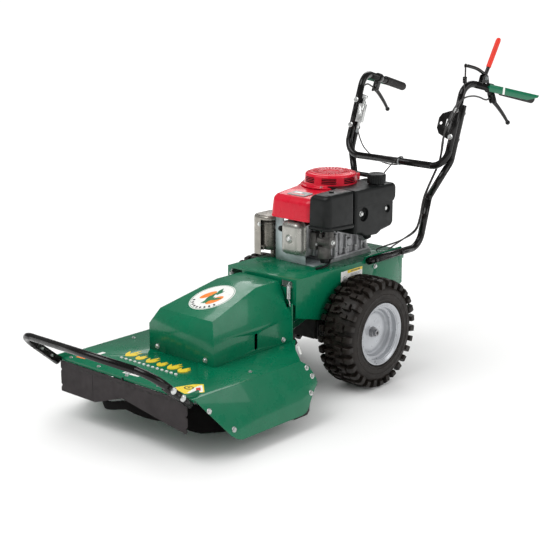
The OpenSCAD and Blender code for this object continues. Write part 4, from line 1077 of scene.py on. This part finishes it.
LEG_RISE = 0.349
JOINT_Z = (951, 853.5)
TUBE_BOLT_Y = (225, 385)


def leg_y(z):
    """How far back an upper handle leg is at height z."""
    return 613 + (z - 853.5) * LEG_RISE


def frame_fasteners():
    """Bolts of the handle joints and of the frame."""
    lo, hi = mm_box("rear_frame")
    side = (hi.x - lo.x) / 2
    lean = math.atan(LEG_RISE)
    heads = []
    parts = Build()
    for s in (1, -1):
        heads.append(((s * side, 248, 404), (s, 0, 0), 7))
        for y in TUBE_BOLT_Y:
            parts.add(peg(4, 0, 30, 16, (s * (side - 3.5), y, 436), (s, 0, 0)))
        for z in JOINT_Z:
            out = Vector((0, -math.cos(lean), math.sin(lean)))
            at = Vector((s * LEG_X, leg_y(z), z))
            heads.append((at + out * 13.0, out, 8))
            parts.add(peg(4.1, -13, 50, 20, at, -out))
            parts.add(hex_bolt(at - out * 40.0, -out, 7.5))
    for at, axis, r in heads:
        parts.add(hex_bolt(at, axis, r))
    parts.done("frame_bolt_set", "chassis", ZINC, "zinc", ["frame_bolts"])
    caps = Build()
    for s in (1, -1):
        for y in TUBE_BOLT_Y:
            caps.add(revolve([(0.01, 0), (9, 0), (9, 2), (6, 4.6), (0.01, 5)], 24,
                             (s * (side + 26.6), y, 436), (s, 0, 0)))
    caps.done("tube_bolt_caps", "chassis", BLACK_GLOSS, "black_paint")


# ---------- deck ----------

SKIRT_LEAN = math.atan2(65, 159.5)


def on_skirt(side, y, d, lift=0.0):
    """Point on a deck side, d below its upper edge."""
    c, s = math.cos(SKIRT_LEAN), math.sin(SKIRT_LEAN)
    return Vector((side * (326 + s * d + c * lift), y, 216 - c * d + s * lift))


def on_bar(u, w=0.0):
    """Place along the sloping push bar arm, as (y, z)."""
    a = math.radians(41)
    return (-875 - u * math.cos(a) - w * math.sin(a), 198 + u * math.sin(a) - w * math.cos(a))


def deck_fasteners():
    """Bolt heads of the skirts, cover, push bar and deck top."""
    parts = Build()
    c, s = math.cos(SKIRT_LEAN), math.sin(SKIRT_LEAN)
    for side in (1, -1):
        out = Vector((side * c, 0, s))
        for y, d in ((-820, 50), (-740, 132), (-342, 27), (-328, 60), (-356, 112)):
            parts.add(hex_bolt(on_skirt(side, y, d), out, 7))
        parts.add(hex_bolt((side * 116, -605, 233), (0, -1, 0), 7))
        parts.add(hex_bolt((side * 156, -258, 232), (side, 0, 0), 7))
        for u in (112, 60):
            y, z = on_bar(u)
            at = Vector((side * 333.7, y, z))
            parts.add(revolve([(0.01, 0), (11.5, 0), (11.5, 2), (9.5, 4.2), (5, 5.4), (0.01, 5.6)],
                              32, at - Vector((side * 0.6, 0, 0)), (side, 0, 0)))
            parts.add(peg(4, 0, 38, 16, at, (-side, 0, 0)))
    for x, y in ((-289, -560), (274, -555), (-282, -853), (-138, -853), (0, -853), (150, -853)):
        parts.add(hex_bolt((x, y, 216), (0, 0, 1), 5))
    parts.done("deck_bolt_set", "deck", ZINC, "zinc", ["deck_bolts"])


def spring(side):
    """Coil spring from the frame's front opening down to the upright on the deck."""
    def at(x, y, z):
        return Vector((side * x, y, z))

    top, low = at(139, -210, 420), at(139, -210, 366)
    turns, r = 15, 6.2
    path = [at(139, -186, 424), at(139, -200, 428), at(139, -208, 427), at(139, -210, 422)]
    count = turns * 16
    for k in range(count + 1):
        a = TAU * k / 16
        t = k / count
        p = top.lerp(low, t)
        grow = min(1.0, k / 8, (count - k) / 8)
        path.append(p + Vector((math.cos(a), math.sin(a), 0)) * r * grow)
    path += [at(141, -211, 362), at(146, -213, 356), at(148, -214, 348), at(148, -212, 342),
             at(148, -204, 341)]
    part = sweep(path, 1.55, 8)
    name = "left" if side > 0 else "right"
    obj = piece("deck_spring_" + name, part[0], part[1], None, ZINC,
                ["centring_springs"])
    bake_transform(obj)


def drive_belt():
    """V-belt from the crankshaft pulley to the blade spindle."""
    lo, hi = mm_box("blade_belt")
    ra, rb, ya, yb = 52.0, 60.0, 185.0, -528.0
    tilt = math.asin((rb - ra) / (ya - yb))

    def bend(r, y, start, turn):
        angles = [start + turn * k / 48 for k in range(49)]
        return [Vector((r * math.cos(a), y + r * math.sin(a))) for a in angles]

    def run(r0, y0, r1, y1, s):
        a, b = (Vector((s * r * math.cos(tilt), y + r * math.sin(tilt)))
                for r, y in ((r0, y0), (r1, y1)))
        return [a.lerp(b, k / 24) for k in range(1, 24)]

    outline = bend(ra, ya, tilt, math.pi - 2 * tilt) + run(ra, ya, rb, yb, -1) \
        + bend(rb, yb, math.pi - tilt, math.pi + 2 * tilt) + run(rb, yb, ra, ya, 1)
    if area(outline) < 0:
        outline = outline[::-1]
    n = len(outline)
    z = (lo.z + hi.z) / 2
    section = [(0.2, z - 3), (6.8, z - 6), (7, z - 4), (7, z + 4), (6.8, z + 6), (0.2, z + 3)]
    verts, faces = [], []
    for d, h in section:
        verts += [Vector((p.x, p.y, h)) for p in inset(outline, -d)]
    m = len(section)
    for k in range(m):
        for i in range(n):
            j = (i + 1) % n
            faces.append([k * n + i, k * n + j, ((k + 1) % m) * n + j, ((k + 1) % m) * n + i])
    obj = piece("blade_vbelt", verts, faces, None, BELT, ["blade_belt"])
    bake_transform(obj)


def starter_rope():
    """Cord between the starter housing and its grip."""
    path = [Vector((30, 232 + k * 2.0, 727)) for k in range(35)]
    part = sweep(path, 2.2, 12)
    obj = piece("starter_rope", part[0], part[1], None, CORD, ["starter_cord"])
    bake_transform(obj)


def baffle():
    """Dark wall inside the deck, just outside the blade's sweep: painted shade, a near-black sheet
    standing for the shadow under the deck seen below the flap.
    """
    lo, hi = mm_box("blade")
    reach = 325.0
    centre = Vector(((lo.x + hi.x) / 2, (lo.y + hi.y) / 2))
    outer, inner = [], []
    for k in range(65):
        a = math.radians(170 + 200 * k / 64)
        d = Vector((math.cos(a), math.sin(a)))
        outer.append(centre + d * (reach + 8.5))
        inner.append(centre + d * (reach + 6.0))
    low, high = 50.0, 118.0
    hinge_z, free, room = 201.0, 118.0, 10.0
    behind = mm_box("front_flap")[1].y
    edge = [(-400, 96), (-138, 96), (-6, 141), (6, 141), (180, 112), (296, 95), (400, 95)]

    def top(v):
        """Highest the wall may stand without meeting the swinging flap."""
        d = v.y - behind
        if d > free:
            return 190.0
        for (xa, za), (xb, zb) in zip(edge, edge[1:]):
            if xa <= v.x <= xb:
                length = hinge_z - (za + (zb - za) * (v.x - xa) / (xb - xa))
        d = max(0.0, min(d, 0.9 * length))
        return hinge_z - math.sqrt(length ** 2 - d ** 2) - room

    def warp(v):
        if v.z > low + 1:
            return Vector((v.x, v.y, top(v)))
        # Painted shade: the wall's lower edge reaches down to 50 mm on the near side, where the shadow
        # below the flap is dark, and rises to 118 mm towards the far side.
        t = max(0.0, min(1.0, (v.x - 90.0) / 150.0))
        return Vector((v.x, v.y, min(top(v) - 30.0, high + (low - high) * t)))

    parts = Build().add(slab(outer + inner[::-1], [(0, low), (0, 190)], warp=warp))
    parts.done("deck_shade_baffle", "deck", SHADE_BAFFLE, "black_paint")


def flap():
    """Rubber flap on its rod across the front of the deck, with dark dashes painted along its top as the
    shade in its slots.
    """
    lo, hi = mm_box("front_flap")
    y = (lo.y + hi.y) / 2
    axis_z = 201.0
    place = in_frame((0, y + 2.5, 0), (1, 0, 0), (0, 0, 1))
    outline = [(-312, 205), (-312, 180), (-307, 174), (-312, 168), (-312, 124), (-306, 118),
               (-312, 112), (-312, 96), (-138, 96), (-6, 141), (6, 141), (180, 112), (296, 95),
               (300, 104), (293, 112), (300, 120), (300, 146), (294, 152), (300, 160),
               (300, 205)]
    parts = Build().add(slab(poly(outline), [(0.5, 0), (0, 0.5), (0, 4.5), (0.5, 5)], place))
    # Painted shade: the dark dashes along the top stand for the shade seen through the slots at the hinge,
    # which are not cut through.
    for k in range(16):
        x = -290 + k * 37
        parts.add(slab(poly([(x, 189.5), (x + 23, 189.5), (x + 23, 195.5), (x, 195.5)]),
                       [(0, 4), (0, 5.6)], place), 1)
    parts.add(slab(poly([(-149, 97), (-147, 97), (-147, 190), (-149, 190)]),
                   [(0, 4), (0, 5.5)], place), 1)
    parts.done("front_flap_sheet", "flap", [FLAP, RUBBER_AND_SLOT_SHADE], "flap_rubber", ["front_flap"])
    rod = Build()
    rod.add(peg(1.6, 0, 617, 16, (-316, y, axis_z), (1, 0, 0)))
    for x in (-316, -2, 297):
        rod.add(box((x, y - 2.2, axis_z + 4.5), (x + 4, y + 6, 213.5)))
        rod.add(box((x, y + 2.8, axis_z - 3), (x + 4, y + 6, 213.5)))
    rod.done("flap_hinge_rod", "deck", BLACK_GLOSS, "steel", ["flap_rod"])


# ---------- labels ----------

def label(name, body, slot, layers, place, mats):
    """Printed label: layers of flat shapes on a thin film."""
    parts = Build()
    for k, (outline, mat) in enumerate(layers):
        parts.add(slab(outline, [(0, -0.2), (0, 0.25 + 0.12 * k)], place), mat)
    parts.done(name, body, mats, slot, angle=20, merge=1e-8)


def ellipse(cx, cy, a, b, steps=64, turn=0.0):
    """Outline of an ellipse."""
    out = []
    for k in range(steps):
        t = TAU * k / steps
        x, y = a * math.cos(t), b * math.sin(t)
        out.append(Vector((cx + x * math.cos(turn) - y * math.sin(turn),
                           cy + x * math.sin(turn) + y * math.cos(turn))))
    return out


def poly(points, r=0.0, seg=4):
    """Outline through the points, rounded if r is given."""
    return rounded_outline([Vector(p) for p in points], r, seg) if r else \
        [Vector(p) for p in points]


def blade_shape(x, y, length, width, turn, bend=0.3):
    """Pointed leaf outline."""
    pts = []
    for k in range(9):
        t = k / 8
        pts.append((t * length, width * math.sin(math.pi * t) * 0.5 + bend * length * t * t * 0.3))
    for k in range(7, 0, -1):
        t = k / 8
        pts.append((t * length, -width * math.sin(math.pi * t) * 0.5
                    + bend * length * t * t * 0.3))
    c, s = math.cos(turn), math.sin(turn)
    return [Vector((x + a * c - b * s, y + a * s + b * c)) for a, b in pts]


def cover_emblem():
    """Oval label on the belt cover: two orange ovals, green leaves and an arc of black marks."""
    slope = Vector((0, 247, 61.6))
    place = in_frame((-4, -447, 396.4), (1, 0, 0), slope)
    a, b = 72.0, 92.0
    layers = [(ellipse(0, 0, a, b), 0), (ellipse(0, 0, a - 3, b - 3), 1),
              (ellipse(0, 0, a - 5, b - 5), 0),
              (ellipse(-26, 8, 14, 34, 40, -0.35), 2), (ellipse(24, -14, 15, 36, 40, -0.3), 2)]
    for x, y, l, w, t, k in ((-8, -52, 60, 17, 1.2, 0.2), (2, -50, 78, 18, 1.65, 0.2),
                             (10, -46, 58, 15, 2.1, -0.3), (-12, 14, 44, 14, 0.9, 0.3),
                             (6, 18, 50, 15, 1.9, -0.2), (0, -20, 46, 14, 0.5, 0.4)):
        layers.append((blade_shape(x, y, l, w, t, k), 3))
    for k in range(9):
        t = math.pi * (1.18 + 0.64 * k / 8)
        layers.append((ellipse((a - 14) * math.cos(t), (b - 14) * math.sin(t), 3.2, 5.2, 16,
                               t + math.pi / 2), 4))
    label("cover_emblem", "deck", "green_paint", layers, place,
          [WHITE, LABEL_GREEN, ORANGE, LABEL_GREEN, LABEL_BLACK])


def deck_motif():
    """Yellow tufts of grass over a white dotted line on the deck top."""
    place = in_frame((0, 0, 216), (1, 0, 0), (0, 1, 0))
    layers = []
    tufts = [(-158, 1.15), (-104, 0.8), (-54, 0.95), (0, 0.75), (50, 1.0), (100, 0.85)]
    for x, grow in tufts:
        for lean, height, bend in ((2.0, 48, 0.2), (1.55, 66, -0.1), (1.1, 56, 0.4), (0.75, 40, 0.5)):
            layers.append((blade_shape(x, -718, height * grow, 13, lean, bend), 0))
    for k in range(13):
        x = -156 + 22 * k
        layers.append((poly([(x, -742), (x + 9, -743.5), (x + 10.5, -737), (x + 2, -735.5)]), 1))
    label("deck_motif", "deck", "green_paint", layers, place, [YELLOW, WHITE])


def deck_labels():
    """Hazard-coloured patch and small edge labels on the deck top, without words."""
    place = in_frame((0, 0, 216), (1, 0, 0), (0, 1, 0))
    layers = [(poly([(196, -833), (222, -768), (246, -744), (302, -796), (266, -848)], 3), 1),
              (poly([(248, -752), (296, -796), (266, -840), (246, -778)], 2), 0),
              (ellipse(236, -800, 17, 15, 32), 2), (ellipse(236, -800, 12.5, 10.5, 32), 1),
              (ellipse(236, -800, 5, 4, 24), 2),
              (poly([(262, -774), (282, -793), (272, -804), (254, -786)], 1), 3),
              (poly([(256, -797), (270, -810), (266, -816), (254, -804)], 1), 0)]
    label("deck_hazard_label", "deck", "green_paint", layers, place,
          [WHITE, YELLOW, LABEL_BLACK, LABEL_RED])
    layers = [(poly([(-276, -838), (-236, -832), (-232, -812), (-272, -818)], 1), 1),
              (poly([(-248, -772), (-232, -770), (-232, -738), (-248, -740)], 1), 0),
              (poly([(-34, -842), (36, -836), (36, -822), (-34, -828)], 1), 0),
              (poly([(-28, -838), (-4, -836), (-4, -829), (-28, -831)], 0.5), 2)]
    label("deck_edge_labels", "deck", "green_paint", layers, place, [WHITE, ORANGE, GREY])


def frame_label():
    """Ruled label with a yellow head on the side of the frame."""
    hi = mm_box("rear_frame")[1]
    place = in_frame((hi.x, 109, 399), (0, 1, 0), (0, 0, 1))
    layers = [(poly([(-62, -20), (62, -20), (62, 20), (-62, 20)], 1), 0),
              (poly([(-24, 9), (62, 9), (62, 20), (-24, 20)], 0.5), 1)]
    for k in range(7):
        layers.append((poly([(-6 + k * 8, 12), (-1 + k * 8, 12), (-1 + k * 8, 17),
                             (-6 + k * 8, 17)]), 2))
    for k in range(5):
        layers.append((poly([(-8, 3 - k * 4.6), (54 - (k % 3) * 9, 3 - k * 4.6),
                             (54 - (k % 3) * 9, 4.4 - k * 4.6), (-8, 4.4 - k * 4.6)]), 3))
    layers.append((ellipse(-42, -8, 9, 9, 28), 3))
    layers.append((ellipse(-42, -8, 7, 7, 28), 0))
    layers.append((poly([(-46, -10), (-38, -10), (-42, -3)]), 2))
    label("frame_label", "chassis", "green_paint", layers, place,
          [WHITE, YELLOW, LABEL_BLACK, GREY])


def guard_bands():
    """White band across each hand guard."""
    a, b = Vector((298, 769, 1020)), Vector((334, 1040, 958))
    d = (b - a).normalized()
    n = d.cross(Vector((0, 0, 1))).normalized()
    u = n.cross(d)
    parts = Build()
    at = a + d * 80 + n * 3.9
    place = in_frame(at, d, u)
    if place((0, 0, 1)).dot(n) < place((0, 0, 0)).dot(n):
        place = in_frame(at + u * 28, d, -u)
    band = slab(poly([(0, -0.2), (12, -0.2), (9, 28.2), (-3, 28.2)]), [(0, -0.3), (0, 0.5)], place)
    parts.add(band).add(mirrored(band))
    parts.done("guard_bands", "chassis", WHITE, "green_paint", angle=20)


def rear_strip():
    """Small strip label at the back corner of the deck."""
    a, b = Vector((198, -238, 216.1)), Vector((318, -352, 216.1))
    u = (b - a).normalized()
    place = in_frame(a, u, Vector((0, 0, 1)).cross(u))
    length = (b - a).length
    layers = [(poly([(6, 3), (length * 0.62, 3), (length * 0.62, 11), (6, 11)], 1), 0)]
    label("deck_rear_strip", "deck", "green_paint", layers, place, [WHITE])


# ---------- stage ----------

def studio():
    """Pale floor, even surroundings and three soft lamps."""
    size = 30.0
    mesh = bpy.data.meshes.new("floor")
    mesh.from_pydata([(-size, -size, 0), (size, -size, 0), (size, size, 0), (-size, size, 0)],
                     [], [(0, 1, 2, 3)])
    floor = bpy.data.objects.new("floor", mesh)
    floor.location.z = -0.0005
    mesh.materials.append(material("floor_pale", (0.86, 0.86, 0.855), rough=0.8, vary=0.01,
                                   patch=0.5, grain=60, bump=0.01, shine=0.1, glow=0.42))
    bpy.context.scene.collection.objects.link(floor)
    world = bpy.data.worlds.new("studio")
    bpy.context.scene.world = world
    world.use_nodes = True
    tree = world.node_tree
    background = tree.nodes["Background"]
    background.inputs[0].default_value = (1, 1, 1, 1)
    path = tree.nodes.new("ShaderNodeLightPath")
    level = None
    for ray, strength in (("Is Glossy Ray", 0.2), ("Is Camera Ray", 1.1)):
        mix = tree.nodes.new("ShaderNodeMix")
        tree.links.new(path.outputs[ray], mix.inputs["Factor"])
        if level is None:
            mix.inputs["A"].default_value = 0.8
        else:
            tree.links.new(level, mix.inputs["A"])
        mix.inputs["B"].default_value = strength
        level = mix.outputs["Result"]
    tree.links.new(level, background.inputs[1])

    def lamp(name, at, aim, size_x, size_y, power):
        data = bpy.data.lights.new(name, "AREA")
        data.shape = "RECTANGLE"
        data.size, data.size_y, data.energy = size_x, size_y, power
        data.specular_factor = 0.3
        obj = bpy.data.objects.new(name, data)
        obj.location = at
        obj.rotation_euler = (Vector(aim) - Vector(at)).to_track_quat("-Z", "Y").to_euler()
        bpy.context.scene.collection.objects.link(obj)

    lamp("key", (-1.0, -3.0, 4.8), (0, 0, 0.4), 4.0, 3.0, 150)
    lamp("side", (4.5, 1.5, 2.8), (0, 0, 0.5), 3.0, 3.0, 60)
    lamp("back", (-2.5, 4.0, 3.8), (0, 0, 0.5), 3.0, 3.0, 80)


def tones():
    """Plain, unfilmic tones so that white stays white."""
    settings = bpy.context.scene.view_settings
    settings.view_transform = "Standard"
    settings.look = "None"
    settings.exposure = 0.0


def camera():
    """View from ahead on the tank side."""
    azimuth, elevation = math.radians(41.91), math.radians(14.78)
    back = Vector((math.sin(azimuth) * math.cos(elevation),
                   -math.cos(azimuth) * math.cos(elevation), math.sin(elevation)))
    data = bpy.data.cameras.new("view")
    data.sensor_width = 36.0
    data.lens = 87.657
    data.clip_end = 200
    cam = bpy.data.objects.new("view", data)
    cam.location = (3.1308, -3.6152, 1.6505)
    cam.rotation_euler = back.to_track_quat("Z", "Y").to_euler()
    bpy.context.scene.collection.objects.link(cam)
    bpy.context.scene.camera = cam


dress_cad()
for wheel_side, wheel_name in ((1, "left"), (-1, "right")):
    tyre(wheel_side, wheel_name)
    rim(wheel_side, wheel_name)
    spring(wheel_side)
engine_shroud()
recoil_start()
shroud_badge()
air_cleaner()
fuel_tank()
filler_cap()
rocker_cover()
exhaust()
engine_details()
grips()
brake_levers()
clamps()
clutch_lever()
cables()
frame_fasteners()
deck_fasteners()
baffle()
flap()
drive_belt()
starter_rope()
cover_emblem()
deck_motif()
deck_labels()
frame_label()
guard_bands()
rear_strip()
studio()
tones()
camera()
